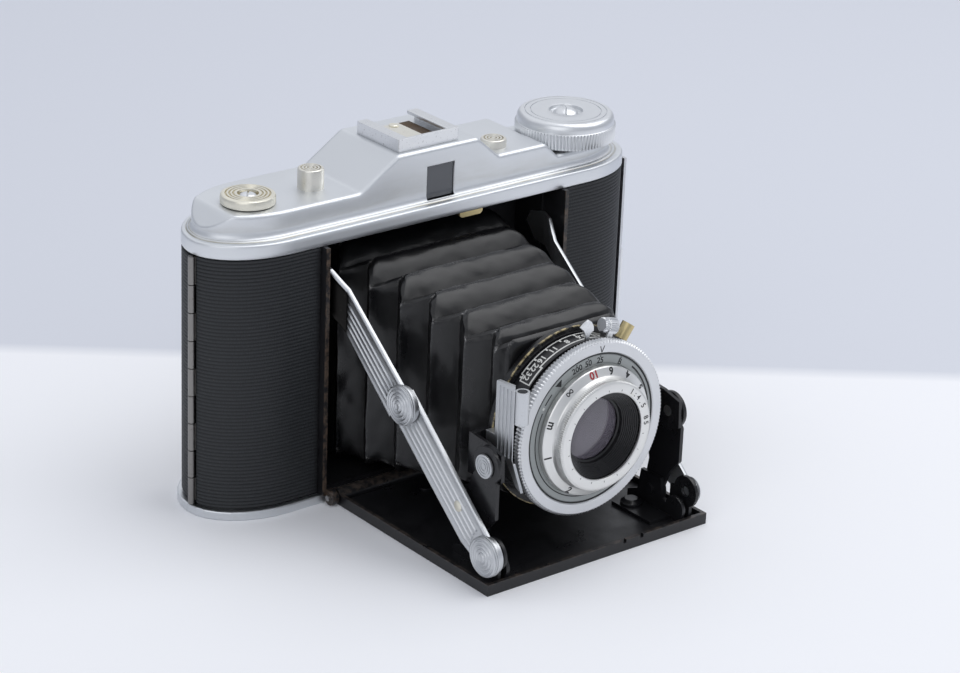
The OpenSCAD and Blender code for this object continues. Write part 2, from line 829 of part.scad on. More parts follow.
module rear_lens() {
    color([0.35, 0.33, 0.4, 0.5]) on_axis() lens_element(9.7, [68.7, 70.2], 0.5);
}

module shutter_blades() {
    color([0.15, 0.15, 0.16]) on_axis() translate([0, 0, 73]) cylinder(r = 9.7, h = 0.4);
}

// Narrow arm from the turning ring over the edge of the drum, at an angle round the lens axis
module lever_arm(angle, h, out) {
    rotate(90 - angle) translate([22, -1.1, h[0]]) cube([out - 22, 2.2, h[1] - h[0]]);
}

module aperture_lever() {
    angle = -1;
    color("silver") on_axis() union() {
        ring(20, 22.8, aperture_h);
        lever_arm(angle, aperture_h, 27.4);
        rotate(90 - angle) translate([25, -1.1, 71.8]) cube([0.8, 2.2, aperture_h[1] - 71.8]);
    }
}

module cocking_lever() {
    angle = 18.5;
    grip_r = 2;
    color("silver") on_axis() union() {
        ring(20, 22.8, cocking_h);
        lever_arm(angle, cocking_h, 26.9);
        rotate(90 - angle) translate([26.9, -3, 73.6]) rotate([-90, 0, 0]) linear_extrude(5.6) knurl(grip_r, 0.25, 18);
    }
}

module sync_post() {
    angle = 36.5;
    color("khaki") on_axis() rotate(90 - angle) translate([24.4, 0, 71.4]) rotate([0, 90, 0])
        cylinder(r = 1.8, h = 4.6, $fn = 32);
}

module release_cover() {
    x = [-27.4, -26.2];
    y = [-79.4, -72];
    z = [33, 54.4];
    rib = 1.5;
    color("silver") difference() {
        union() {
            side_plate(x) polygon([[y[0], z[0]], [y[1], z[0]], [y[1], z[1] - 0.7], [y[0], z[1]]]);
            box([x[0], -24.6], [y[1] - 0.1, -68.5], [axis_z - 2, axis_z + 3]);
            side_plate([x[0], x[0] + 0.8]) polygon([[-79.4, 34], [-76.2, 34], [-81.2, 27.2], [-83.6, 26.2]]);
        }
        for (i = [0:3])
            box([x[0] - 1, x[0] + 0.35], [y[0] + 0.9, y[0] + 1.6] + [rib, rib] * i, [z[0] + 1, z[1] - 1.6]);
        translate([socket[0], socket[1], z[0]]) cylinder(r = socket_r + fit, h = 30, $fn = 40);
    }
}

module cable_socket() {
    z = [44, 53];
    color("silver") difference() {
        union() {
            translate([socket[0], socket[1], z[0]]) cylinder(r = socket_r, h = z[1] - z[0], $fn = 40);
            box([-26.2, socket[0]], [-79.4, -78.2], [z[0] + 1, z[0] + 6]);
        }
        translate([socket[0], socket[1], z[0] + 4]) cylinder(r = socket_r - 0.55, h = 9, $fn = 40);
    }
}

// ---- struts ----

// Grooves along an arm, cut into its outer face
module arm_grooves(p, q, face, trim) {
    d = q - p;
    for (i = [-1.5:1:1.5])
        side_plate([face - 0.3, face + 1]) translate(p) rotate(atan2(d[1], d[0]))
            translate([trim[0], i * arm_w / 5.4 - 0.3]) square([norm(d) - trim[0] - trim[1], 0.6]);
}

module strut_lower() {
    color("silver") union() {
        difference() {
            side_plate(lower_x) bar(strut_bed, strut_mid, arm_w);
            arm_grooves(strut_bed, strut_mid, lower_x[1], [7, 7]);
        }
        stepped_head(rivet_r, [lower_x[1] - eps, lower_x[1] + 2.2], strut_bed);
        x_rod(pin_r, [ear_x[0], lower_x[0] + eps], strut_bed);
    }
}

module strut_upper() {
    knee = strut_mid + (strut_body - strut_mid) * 0.76;
    step = strut_mid + (strut_body - strut_mid) * 0.79;
    color("silver") union() {
        difference() {
            side_plate(upper_x) bar(strut_mid, knee, arm_w);
            arm_grooves(strut_mid, knee, upper_x[1], [7, 5]);
        }
        side_plate([upper_x[0], upper_end_x[1]]) bar(knee, step, arm_w * 0.62);
        side_plate(upper_end_x) bar(knee, strut_body, arm_w * 0.62);
        stepped_head(rivet_r, [upper_x[1] - eps, upper_x[1] + 2.8], strut_mid);
        x_rod(pin_r, [upper_end_x[1] - eps, door_half + sheet_t], strut_body);
    }
}

module strut_upper_right() {
    strut_upper();
}

module strut_upper_left() {
    left_side() strut_upper();
}

module strut_lower_right() {
    strut_lower();
}

module strut_lower_left() {
    left_side() strut_lower();
}

// ---- bellows ----

module bellows() {
    rear = gate_y - 0.1;
    front = 0.1 - plate_h[0];
    color([0.05, 0.05, 0.05]) intersection() {
        side_plate([-40, 40]) polygon([[rear, 5], [front, 14], [front, 59], [rear, 71]]);
        slab(0, 80) polygon([[-30, rear], [-22, front], [22, front], [30, rear]]);
    }
}

body_shell();
base_plate();
tripod_bush();
leather_left();
leather_right();
film_gate();
lower_spool_pins();
top_cover();
finder_front_glass();
finder_rear_glass();
finder_tube();
accessory_shoe();
shoe_spring();
shoe_rivets();
winding_knob();
winding_screw();
winding_shaft();
takeup_spool();
supply_knob();
supply_screw();
release_button();
bed_button();
latch_hook();
back_cover();
back_leather();
pressure_plate();
red_window();
hinge_body_leaf();
hinge_back_leaf();
back_hinge_pin();
back_latch();
bed_plate();
bed_leather();
bed_brackets();
bed_hinge_pin();
bed_rivets();
link_left();
link_right();
standard_plate();
standard_rivets();
shutter_case();
aperture_scale();
speed_ring();
face_plate();
focus_ring();
lens_cell();
front_lens();
rear_lens();
shutter_blades();
aperture_lever();
cocking_lever();
sync_post();
release_cover();
cable_socket();
strut_upper_left();
strut_upper_right();
strut_lower_left();
strut_lower_right();
bellows();
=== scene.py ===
"""The look of an open folding camera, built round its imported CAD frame. Lengths are millimetres until
a mesh is made, then metres. +Z is up, the lens looks along -Y."""
import math

import bmesh
import bpy
from mathutils import Matrix, Vector, noise


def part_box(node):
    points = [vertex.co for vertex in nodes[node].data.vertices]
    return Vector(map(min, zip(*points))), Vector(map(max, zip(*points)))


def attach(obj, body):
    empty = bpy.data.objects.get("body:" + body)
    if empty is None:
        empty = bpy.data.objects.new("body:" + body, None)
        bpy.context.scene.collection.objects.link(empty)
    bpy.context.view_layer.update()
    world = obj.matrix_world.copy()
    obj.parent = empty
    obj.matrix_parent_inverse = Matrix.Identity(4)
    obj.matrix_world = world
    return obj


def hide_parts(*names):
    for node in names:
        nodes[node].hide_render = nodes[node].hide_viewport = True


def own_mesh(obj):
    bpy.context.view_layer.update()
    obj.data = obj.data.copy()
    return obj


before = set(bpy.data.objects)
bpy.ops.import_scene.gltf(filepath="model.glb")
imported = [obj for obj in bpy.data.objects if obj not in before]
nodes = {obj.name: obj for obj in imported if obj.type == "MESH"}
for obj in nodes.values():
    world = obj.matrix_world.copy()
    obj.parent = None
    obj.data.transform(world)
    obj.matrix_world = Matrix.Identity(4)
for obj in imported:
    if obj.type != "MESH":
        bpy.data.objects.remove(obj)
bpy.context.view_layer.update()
scene = bpy.context.scene

MM = 0.001
FRONT = Vector((0, -1, 0))


def corner(node, side, axis):
    """One face of a CAD node's box, in millimetres: side 0 is low and 1 is high."""
    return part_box(node)[side][axis] / MM


def span(node, axis):
    """Both faces of a CAD node's box along an axis, in millimetres."""
    return corner(node, 0, axis), corner(node, 1, axis)


# Sizes taken from the frame
MID_X = sum(span("top_cover", 0)) / 2
HALF_W = corner("top_cover", 1, 0) - MID_X
HALF_D = -corner("top_cover", 0, 1)
BACK_SCALE = corner("top_cover", 1, 1) / HALF_D
CASE_TOP = corner("top_cover", 0, 2)
FINDER_LEVEL = corner("top_cover", 1, 2)
AXIS_Z = sum(span("focus_ring", 2)) / 2
LENS_FRONT = -corner("focus_ring", 0, 1)
FOCUS_BACK = -corner("focus_ring", 1, 1)
RING_FRONT = -corner("speed_ring", 0, 1)
RING_BACK = -corner("speed_ring", 1, 1)
RING_R = corner("speed_ring", 1, 0)
DIAL_FRONT = -corner("face_plate", 0, 1)
DRUM_R = corner("aperture_scale", 1, 0) - 1.1
DRUM_FRONT = -corner("aperture_scale", 0, 1)
DRUM_BACK = -corner("aperture_scale", 1, 1)
DOOR_EDGE = corner("leather_right", 0, 0)
LEATHER_Z = span("leather_right", 2)
BACK_LEATHER_Z = span("back_leather", 2)
WINDOW_X = span("finder_front_glass", 0)
WINDOW_Z = span("finder_front_glass", 2)
KNOB_X = sum(span("winding_knob", 0)) / 2
KNOB_R = corner("winding_knob", 1, 0) - KNOB_X
KNOB_LEVEL = corner("winding_knob", 0, 2) - 0.6
END_REACH = 22.0                    # how far the round ends of the casing reach along x


# ---- materials ----

# NEAR_BLACK is the colour of the painted shade on the struts' bent upper ends.
NEAR_BLACK = (0.02, 0.019, 0.018)
PIT = (0.16, 0.15, 0.13)
DUST = (0.04, 0.038, 0.035)
OLD_STAIN = (0.66, 0.6, 0.45)
PLATING = (0.6, 0.61, 0.63)


def material(name):
    mat = bpy.data.materials.new(name)
    mat.use_nodes = True
    return mat, mat.node_tree, mat.node_tree.nodes["Principled BSDF"]


def feed(tree, made, inputs):
    """Links each named input of a node to another node, or sets it to a constant."""
    for key, value in inputs.items():
        if isinstance(value, bpy.types.NodeSocket):
            tree.links.new(value, made.inputs[key])
        else:
            made.inputs[key].default_value = value


def node(tree, kind, inputs=(), **settings):
    made = tree.nodes.new(kind)
    for key, value in settings.items():
        setattr(made, key, value)
    feed(tree, made, dict(inputs))
    return made


def place_of(tree):
    """The point on the piece, in metres, at rest."""
    return node(tree, "ShaderNodeTexCoord").outputs["Object"]


def stretched(tree, sizes):
    """The point on the piece, scaled so that a noise cell is sizes millimetres along x, y and z."""
    scale = tuple(1 / (MM * s) for s in sizes)
    return node(tree, "ShaderNodeVectorMath", {0: place_of(tree), 1: scale}, operation="MULTIPLY").outputs[0]


def grain(tree, size, detail=3.0, rough=0.55):
    """Noise from 0 to 1 with cells of that many millimetres: one number, or three along x, y and z."""
    sizes = size if isinstance(size, tuple) else (size,) * 3
    made = node(tree, "ShaderNodeTexNoise", {"Vector": stretched(tree, sizes), "Scale": 1.0,
                                             "Detail": detail, "Roughness": rough})
    return made.outputs["Fac"]


def ranged(tree, value, low, high, to_low=0.0, to_high=1.0):
    made = node(tree, "ShaderNodeMapRange", {"Value": value, "From Min": low, "From Max": high,
                                             "To Min": to_low, "To Max": to_high})
    return made.outputs["Result"]


def sums(tree, operation, a, b):
    return node(tree, "ShaderNodeMath", {0: a, 1: b}, operation=operation).outputs[0]


def times(tree, a, b):
    return sums(tree, "MULTIPLY", a, b)


def mixed(tree, share, a, b):
    """One colour mixed into another. Sockets 6, 7 and 2 are the mix node's two colours and its result."""
    made = node(tree, "ShaderNodeMix", {"Factor": share}, data_type="RGBA")
    feed(tree, made, {6 + k: (*c, 1.0) if isinstance(c, tuple) else c for k, c in enumerate((a, b))})
    return made.outputs[2]


def axis_value(tree, axis):
    made = node(tree, "ShaderNodeSeparateXYZ", {0: place_of(tree)})
    return made.outputs[axis]


def attribute(tree, name):
    return node(tree, "ShaderNodeAttribute", attribute_name=name).outputs["Fac"]


def bump(tree, shader, height, depth, strength=1.0):
    made = node(tree, "ShaderNodeBump", {"Height": height, "Distance": depth * MM, "Strength": strength})
    tree.links.new(made.outputs[0], shader.inputs["Normal"])


def lens_distance(tree):
    """Distance from the lens axis, in metres."""
    point = node(tree, "ShaderNodeVectorMath", {0: place_of(tree), 1: (0, 0, -AXIS_Z * MM)}, operation="ADD")
    flat = node(tree, "ShaderNodeVectorMath", {0: point.outputs[0], 1: (1, 0, 1)}, operation="MULTIPLY")
    return node(tree, "ShaderNodeVectorMath", {0: flat.outputs[0]}, operation="LENGTH").outputs["Value"]


def satin_metal(name, colour, rough, tint=(0.62, 0.58, 0.47), dirt=0.25, pits=0.0, cell=9.0, grime=None,
                held=(0.34, 0.31, 0.22), shade=None):
    """Pale satin metal: even reflections, faint stains, hair scratches, small dark pits where asked, and
    painted shade near black where asked.
    """
    mat, tree, shader = material(name)
    clouds = grain(tree, cell, 2)
    fine = grain(tree, 0.3, 2)
    hairs = ranged(tree, grain(tree, (9, 0.12, 0.6), 2, 0.4), 0.62, 0.72)
    stain = ranged(tree, grain(tree, cell * 0.5, 5, 0.65), 0.6, 0.8, 0, dirt)
    tone = mixed(tree, clouds, tuple(c * 0.95 for c in colour), tuple(min(1, c * 1.03) for c in colour))
    tone = mixed(tree, stain, tone, tint)
    if grime:
        patchy = ranged(tree, grain(tree, (6, 6, 1.5), 4), 0.25, 0.7, 0.35)
        tone = mixed(tree, times(tree, attribute(tree, grime), patchy), tone, held)
    if shade:
        # Painted shade: where the named attribute is set, the metal is darkened to near black.
        tone = mixed(tree, attribute(tree, shade), tone, NEAR_BLACK)
    if pits:
        spots = ranged(tree, grain(tree, 0.55, 2, 0.4), 0.66, 0.72, 0, pits)
        tone = mixed(tree, spots, tone, PIT)
    scratched = sums(tree, "ADD", clouds, times(tree, hairs, -0.3))
    gloss = ranged(tree, scratched, 0.2, 0.9, rough * 0.9, rough * 1.12)
    feed(tree, shader, {"Metallic": 1.0, "Base Color": tone, "Roughness": gloss})
    bump(tree, shader, fine, 0.004)
    return mat


def turned_metal(name, colour, rough, groove=0.22, dirt=0.2):
    """Lathe-turned metal: faint rings round the lens axis."""
    mat, tree, shader = material(name)
    phase = times(tree, lens_distance(tree), math.tau / (groove * MM))
    rings = node(tree, "ShaderNodeMath", {0: phase}, operation="SINE")
    clouds = grain(tree, 7, 4)
    tone = mixed(tree, clouds, tuple(c * 0.94 for c in colour), colour)
    tone = mixed(tree, ranged(tree, grain(tree, 3.2, 5, 0.6), 0.6, 0.8, 0, dirt), tone, OLD_STAIN)
    feed(tree, shader, {"Metallic": 0.95, "Base Color": tone,
                        "Roughness": ranged(tree, clouds, 0.3, 0.7, rough * 0.85, rough * 1.15)})
    bump(tree, shader, rings.outputs[0], 0.006)
    return mat


def enamel(name, rough=0.3, edge=None, colour=(0.007, 0.007, 0.008), worn=(0.2, 0.17, 0.14), wear=0.8,
           flecks=0.3, plated=None):
    """Black stoved enamel with dust and rubbed spots; edge makes a mask of where it is rubbed through."""
    mat, tree, shader = material(name)
    clouds = grain(tree, 6, 5)
    dust = ranged(tree, grain(tree, 1.1, 4, 0.7), 0.62, 0.82, 0, 0.3)
    tone = mixed(tree, clouds, colour, tuple(c * 1.9 for c in colour))
    tone = mixed(tree, dust, tone, DUST)
    rubbed = ranged(tree, grain(tree, 0.7, 4, 0.6), 0.71, 0.76, 0, flecks)
    if edge:
        patchy = ranged(tree, grain(tree, 1.8, 5, 0.7), 0.42, 0.6, 0, wear)
        rubbed = sums(tree, "MAXIMUM", rubbed, times(tree, edge(tree), patchy))
    tone = mixed(tree, rubbed, tone, worn)
    if plated:
        tone = mixed(tree, plated(tree), tone, PLATING)
        feed(tree, shader, {"Metallic": plated(tree)})
    feed(tree, shader, {"Base Color": tone, "Specular IOR Level": 0.4, "Coat Weight": 0.15,
                        "Coat Roughness": 0.2,
                        "Roughness": ranged(tree, clouds, 0.3, 0.7, rough * 0.75, rough * 1.4)})
    bump(tree, shader, grain(tree, 0.5, 3), 0.015)
    return mat


def beyond(axis, low, high):
    """An edge mask for enamel: 0 at low and 1 at high along an axis, in millimetres."""
    return lambda tree: ranged(tree, axis_value(tree, axis), low * MM, high * MM)


def leather(name):
    """Ribbed black book cloth: threads cross the ribs, and the rib tops are painted a little grey as a
    highlight.
    """
    mat, tree, shader = material(name)
    threads = grain(tree, (0.3, 0.3, 0.8), 2, 0.5)
    clouds = grain(tree, 14, 4)
    tone = mixed(tree, clouds, (0.006, 0.0065, 0.0075), (0.013, 0.0135, 0.015))
    # Painted highlight: the rib crests are lightened to grey, broken up by the threads.
    crest = times(tree, attribute(tree, "crest"), ranged(tree, threads, 0.25, 0.75, 0.25, 0.75))
    tone = mixed(tree, crest, tone, (0.046, 0.05, 0.054))
    tone = mixed(tree, ranged(tree, grain(tree, 0.7, 3, 0.6), 0.72, 0.77, 0, 0.4), tone, (0.16, 0.13, 0.1))
    feed(tree, shader, {"Base Color": tone, "Specular IOR Level": 0.32,
                        "Roughness": ranged(tree, threads, 0.3, 0.7, 0.42, 0.62)})
    bump(tree, shader, threads, 0.1)
    return mat


def bellows_leather(name):
    """Glossy thin black leather: fine pebble grain, greyed folds, white cracks at the worn corners, and painted
    shade darkening the fold valleys.
    """
    mat, tree, shader = material(name)
    pebble = grain(tree, 0.4, 3)
    clouds = grain(tree, (12, 4, 12), 4)
    tone = mixed(tree, clouds, (0.003, 0.003, 0.0036), (0.008, 0.008, 0.0092))
    rubbed = ranged(tree, grain(tree, 1.1, 4, 0.65), 0.5, 0.72, 0.12, 0.6)
    tone = mixed(tree, times(tree, attribute(tree, "fold"), rubbed), tone, (0.14, 0.14, 0.145))
    specks = ranged(tree, grain(tree, 0.5, 3, 0.6), 0.71, 0.75, 0, 0.25)
    tone = mixed(tree, specks, tone, (0.12, 0.115, 0.11))
    cracks = ranged(tree, grain(tree, 0.5, 4, 0.6), 0.46, 0.56, 0, 0.9)
    tone = mixed(tree, times(tree, attribute(tree, "worn"), cracks), tone, (0.42, 0.41, 0.4))
    # Painted shade: the valleys between the folds are darkened almost to black.
    tone = mixed(tree, times(tree, attribute(tree, "valley"), 0.85), tone, (0.001, 0.001, 0.001))
    dull = times(tree, attribute(tree, "valley"), 0.35)
    rough = sums(tree, "ADD", ranged(tree, clouds, 0.3, 0.7, 0.2, 0.36), dull)
    feed(tree, shader, {"Base Color": tone, "Roughness": rough, "Specular IOR Level": 0.4, "Coat Weight": 0.2,
                        "Coat Roughness": 0.16})
    bump(tree, shader, pebble, 0.025)
    return mat


def plain_paint(name, colour, rough=0.5, fade=0.85):
    """Filled or printed marks, a little patchy."""
    mat, tree, shader = material(name)
    tone = mixed(tree, grain(tree, 0.8, 3), tuple(c * fade for c in colour), colour)
    feed(tree, shader, {"Base Color": tone, "Roughness": rough})
    return mat


def coated_glass(name, colour, see_through, rough=0.04):
    """Coated glass with a faint haze; see_through is the share of light that passes."""
    mat, tree, shader = material(name)
    haze = grain(tree, 6, 0.5)
    tone = mixed(tree, haze, tuple(c * 0.8 for c in colour), tuple(c * 1.25 for c in colour))
    feed(tree, shader, {"Base Color": tone, "Roughness": ranged(tree, haze, 0.3, 0.8, rough, rough * 2.5),
                        "Transmission Weight": see_through, "IOR": 1.6, "Coat Weight": 0.3})
    return mat


def worn_rim(tree):
    """The front edge of the standard's disc, where the paint is rubbed to a thin golden line."""
    inner = ranged(tree, lens_distance(tree), 24.9 * MM, 25.15 * MM)
    outer = ranged(tree, lens_distance(tree), 25.7 * MM, 25.5 * MM)
    return times(tree, times(tree, inner, outer), ranged(tree, axis_value(tree, "Y"), -67.9 * MM, -68.2 * MM))


COVER = satin_metal("cover_satin", (0.74, 0.76, 0.78), 0.45, dirt=0.08, cell=22, grime="grime")
BRIGHT = satin_metal("bright_plate", (0.76, 0.77, 0.78), 0.3, dirt=0.25, pits=0.4, cell=5)
KNOB = satin_metal("knob_satin", (0.78, 0.795, 0.81), 0.38, dirt=0.1, cell=12)
BASE = satin_metal("base_satin", (0.72, 0.74, 0.76), 0.36, dirt=0.15, cell=14)
STRUT = satin_metal("strut_bright", (0.63, 0.645, 0.66), 0.4, dirt=0.12, pits=0.15, cell=6, shade="dark")
STEEL = satin_metal("dull_steel", (0.42, 0.41, 0.4), 0.36, tint=(0.25, 0.19, 0.12), dirt=0.5, cell=3)
LEAF = satin_metal("hinge_dark", (0.26, 0.25, 0.24), 0.36, tint=(0.12, 0.1, 0.08), dirt=0.8, cell=2.2, pits=0.2)
BUTTON = satin_metal("button_cream", (0.8, 0.78, 0.71), 0.38, dirt=0.3, pits=0.2, cell=2.5, grime="grime",
                     held=(0.5, 0.45, 0.33))
IVORY = satin_metal("pull_knob_cream", (0.84, 0.81, 0.7), 0.36, tint=(0.62, 0.53, 0.3), dirt=0.3, cell=3,
                    grime="grime", held=(0.56, 0.48, 0.3))
BRASS = satin_metal("old_brass", (0.6, 0.5, 0.27), 0.4, tint=(0.3, 0.24, 0.12), dirt=0.6, cell=2)
RING = turned_metal("speed_ring_metal", (0.74, 0.75, 0.765), 0.42, dirt=0.1)
FOCUS = turned_metal("focus_ring_metal", (0.8, 0.8, 0.78), 0.34, dirt=0.3)
DIAL = plain_paint("dial_grey_green", (0.34, 0.36, 0.355), 0.42, 0.9)
BLACK = enamel("enamel_black")
CASE = enamel("enamel_casing", 0.42, beyond("Y", -16.5, -16.95), worn=(0.1, 0.07, 0.05), wear=0.9)
BACK = enamel("enamel_back", 0.42, plated=beyond("X", 71.3, 71.5))
BED = enamel("enamel_bed", 0.34, beyond("Z", 2.8, 3.2), worn=(0.07, 0.055, 0.045), wear=0.8)
DISC = enamel("enamel_disc", 0.24, worn_rim, worn=(0.55, 0.45, 0.24), wear=1.0)
DRUM = enamel("enamel_drum", 0.3, flecks=0.1)
CELL = enamel("enamel_cell", 0.26, colour=(0.003, 0.003, 0.0035), flecks=0.0)
CLOTH = leather("ribbed_cloth")
SKIN = bellows_leather("bellows_skin")
WHITE = plain_paint("mark_white", (0.72, 0.72, 0.69))
INK = plain_paint("mark_black", (0.012, 0.012, 0.013))
BLADE = plain_paint("blade_dark", (0.035, 0.03, 0.036), 0.45)
RED = plain_paint("mark_red", (0.42, 0.03, 0.035))
LENS = coated_glass("lens_coated", (0.42, 0.38, 0.45), 0.75)
# Painted shade: the finder panes are opaque and near black, standing in for the dark inside of the finder.
PANE = coated_glass("finder_glass", (0.05, 0.055, 0.065), 0.0, 0.06)
RUBY = coated_glass("ruby_glass", (0.35, 0.01, 0.01), 0.4)
HOLE = enamel("rusty_hole", 0.7, colour=(0.05, 0.03, 0.015), worn=(0.3, 0.2, 0.08), flecks=0.7)
INSIDE = enamel("inside_black", 0.6)


# ---- mesh helpers ----

def smooth_shade(mesh, angle):
    for face in mesh.polygons:
        face.use_smooth = True
    mesh.set_sharp_from_angle(angle=math.radians(angle))


def piece(name, points, faces, body, mat, replaces=(), angle=35, values=None):
    """A mesh from points in millimetres. values gives a number per point for named attributes."""
    mesh = bpy.data.meshes.new(name)
    mesh.from_pydata([Vector(p) * MM for p in points], [], faces)
    for key, numbers in (values or {}).items():
        mesh.attributes.new(key, "FLOAT", "POINT").data.foreach_set("value", numbers)
    work = bmesh.new()
    work.from_mesh(mesh)
    bmesh.ops.remove_doubles(work, verts=work.verts, dist=0.002 * MM)
    bmesh.ops.recalc_face_normals(work, faces=work.faces)
    work.to_mesh(mesh)
    work.free()
    mesh.materials.append(mat)
    smooth_shade(mesh, angle)
    made = bpy.data.objects.new(name, mesh)
    scene.collection.objects.link(made)
    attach(made, body)
    if replaces:
        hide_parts(*replaces)
    return made


def settle(made):
    """Applies a piece's modifiers, so that its mesh is final."""
    graph = bpy.context.evaluated_depsgraph_get()
    final = bpy.data.meshes.new_from_object(made.evaluated_get(graph), depsgraph=graph)
    made.modifiers.clear()
    made.data = final


def quads(rows, columns, close_rows=False, close_columns=False):
    """Faces of a grid whose point number is row * columns + column."""
    faces = []
    for r in range(rows if close_rows else rows - 1):
        for c in range(columns if close_columns else columns - 1):
            r1, c1 = (r + 1) % rows, (c + 1) % columns
            faces.append((r * columns + c, r * columns + c1, r1 * columns + c1, r1 * columns + c))
    return faces


def thick_grid(rows, columns):
    """Faces of a closed sheet: a grid of points, then a second grid behind it, joined along all four edges."""
    back = rows * columns
    faces = quads(rows, columns)
    faces += [tuple(back + k for k in reversed(f)) for f in faces]
    for edge in (range(columns), range(back - columns, back),
                 range(0, back, columns), range(columns - 1, back, columns)):
        faces += [(a, b, b + back, a + back) for a, b in zip(edge, edge[1:])]
    return faces


def lens_point(r, h, clock):
    """A point at radius r, depth h in front of the middle plane, and a clock angle seen from the front."""
    a = math.radians(clock)
    return Vector((r * math.sin(a), -h, AXIS_Z + r * math.cos(a)))


def spokes(clock):
    """Outward and clockwise directions at a clock angle, seen from the front."""
    a = math.radians(clock)
    return Vector((math.sin(a), 0, math.cos(a))), Vector((math.cos(a), 0, -math.sin(a)))


def tooth_gap(i, segments, count, depth):
    """How far a surface sits back at segment i of a ring with that many pointed teeth."""
    return depth * abs(2 * ((i * count / segments) % 1) - 1)


def turned(profile, centre, out, segments=96, cut=None):
    """Points and faces of a (radius, height) profile turned round a line through centre along out.
    cut(i, r, h) gives how far the point sits back at segment i."""
    out = Vector(out).normalized()
    side = out.orthogonal().normalized()
    other = out.cross(side)
    points = []
    for r, h in profile:
        for i in range(segments):
            a = math.tau * i / segments
            reach = max(r - (cut(i, r, h) if cut else 0), 0.0005)
            spoke = side * (reach * math.cos(a)) + other * (reach * math.sin(a))
            points.append(Vector(centre) + spoke + out * h)
    return points, quads(len(profile), segments, close_rows=True, close_columns=True)


def lathe(name, profile, body, mat, replaces=(), segments=192, teeth=None, angle=30):
    """A closed profile of (radius, depth) turned round the lens axis. teeth is (count, depth, least radius,
    least depth): profile points past both are cut into teeth."""
    points = []
    for r, h in profile:
        for i in range(segments):
            cut = 0.0
            if teeth and r >= teeth[2] and h >= teeth[3]:
                cut = tooth_gap(i, segments, teeth[0], teeth[1])
            points.append(lens_point(r - cut, h, 360 * i / segments))
    faces = quads(len(profile), segments, close_rows=True, close_columns=True)
    return piece(name, points, faces, body, mat, replaces, angle)


def rounded(values, radius, x):
    """The polyline value at x, with its corners rounded over that radius."""
    steps = 8
    near = [polyline(values, x + radius * k / steps) for k in range(-steps, steps + 1)]
    return sum(near) / len(near)


def polyline(values, x):
    if x <= values[0][0]:
        return values[0][1]
    for (x0, y0), (x1, y1) in zip(values, values[1:]):
        if x <= x1:
            return y0 + (y1 - y0) * (x - x0) / (x1 - x0)
    return values[-1][1]


def blend(a, b, share):
    return a + (b - a) * share


def eased(share):
    share = max(0.0, min(1.0, share))
    return share * share * (3 - 2 * share)


# ---- top cover ----

SIDE_STEPS = 190
END_STEPS = 56
UPPER_HALF_W = 68.8
UPPER_HALF_D = 12.4
UPPER_MID_Y = 1.6
UPPER_REACH = 20.0
SHOULDER = 1.2                      # radius of the long edge between front and top
END_SHOULDER = 0.4                  # the same round the flat slope at the left end
SLOPE_END = -65.5                   # x where the short radius starts to grow into the long one
SHEET = 0.5
WALL_FOOT = CASE_TOP + 5.6
# Levels along the top, left to right
SKYLINE = [(-69.4, 80.9), (-64.2, 85), (-26, 85), (-13.5, FINDER_LEVEL), (13.4, FINDER_LEVEL),
           (20.8, 86.9), (37.5, 86.9), (41.9, KNOB_LEVEL), (70, KNOB_LEVEL)]
# The rim band and its bead: share of the ledge, height above the underside
RIM = [(0.05, 0), (0, 0.25), (0, 1.4), (0, 2.6), (0, 3.3), (0.012, 3.58), (0.045, 3.8), (0.09, 3.92),
       (0.15, 3.97), (0.26, 4.0), (0.38, 4.02), (0.44, 3.97), (0.475, 3.94), (0.505, 4.06), (0.545, 4.24),
       (0.595, 4.32), (0.645, 4.26), (0.685, 4.1), (0.72, 4.02), (0.78, 4.05), (0.84, 4.16), (0.9, 4.42),
       (0.95, 4.82), (0.985, 5.2), (1, 5.6)]
GROOVES = (0.475, 0.74)              # shares of the ledge where dirt gathers


def cased(x, y):
    """A point of the evened outline, shifted and deepened behind the middle plane like the casing."""
    return Vector((x + MID_X, y * BACK_SCALE if y > 0 else y))


def outline(half_w, half_d, reach, mid_y):
    straight = half_w - reach
    across = [straight * (2 * i / SIDE_STEPS - 1) for i in range(SIDE_STEPS + 1)]
    turn = [math.radians(180 * i / END_STEPS - 90) for i in range(1, END_STEPS)]
    front = [(x, -half_d) for x in across]
    right = [(straight + reach * math.cos(a), half_d * math.sin(a)) for a in turn]
    rear = [(x, half_d) for x in reversed(across)]
    left = [(-x, -y) for x, y in right]
    return [cased(*p) + Vector((0, mid_y)) for p in front + right + rear + left]


def roof(x, y):
    """Level of the top of the housing, with the round step round the winding knob."""
    level = rounded(SKYLINE, 0.6, x)
    recess = eased((math.hypot(x - KNOB_X, y) - (KNOB_R + 0.5)) / 1.3)
    return blend(min(level, KNOB_LEVEL), level, recess) if level > KNOB_LEVEL else level


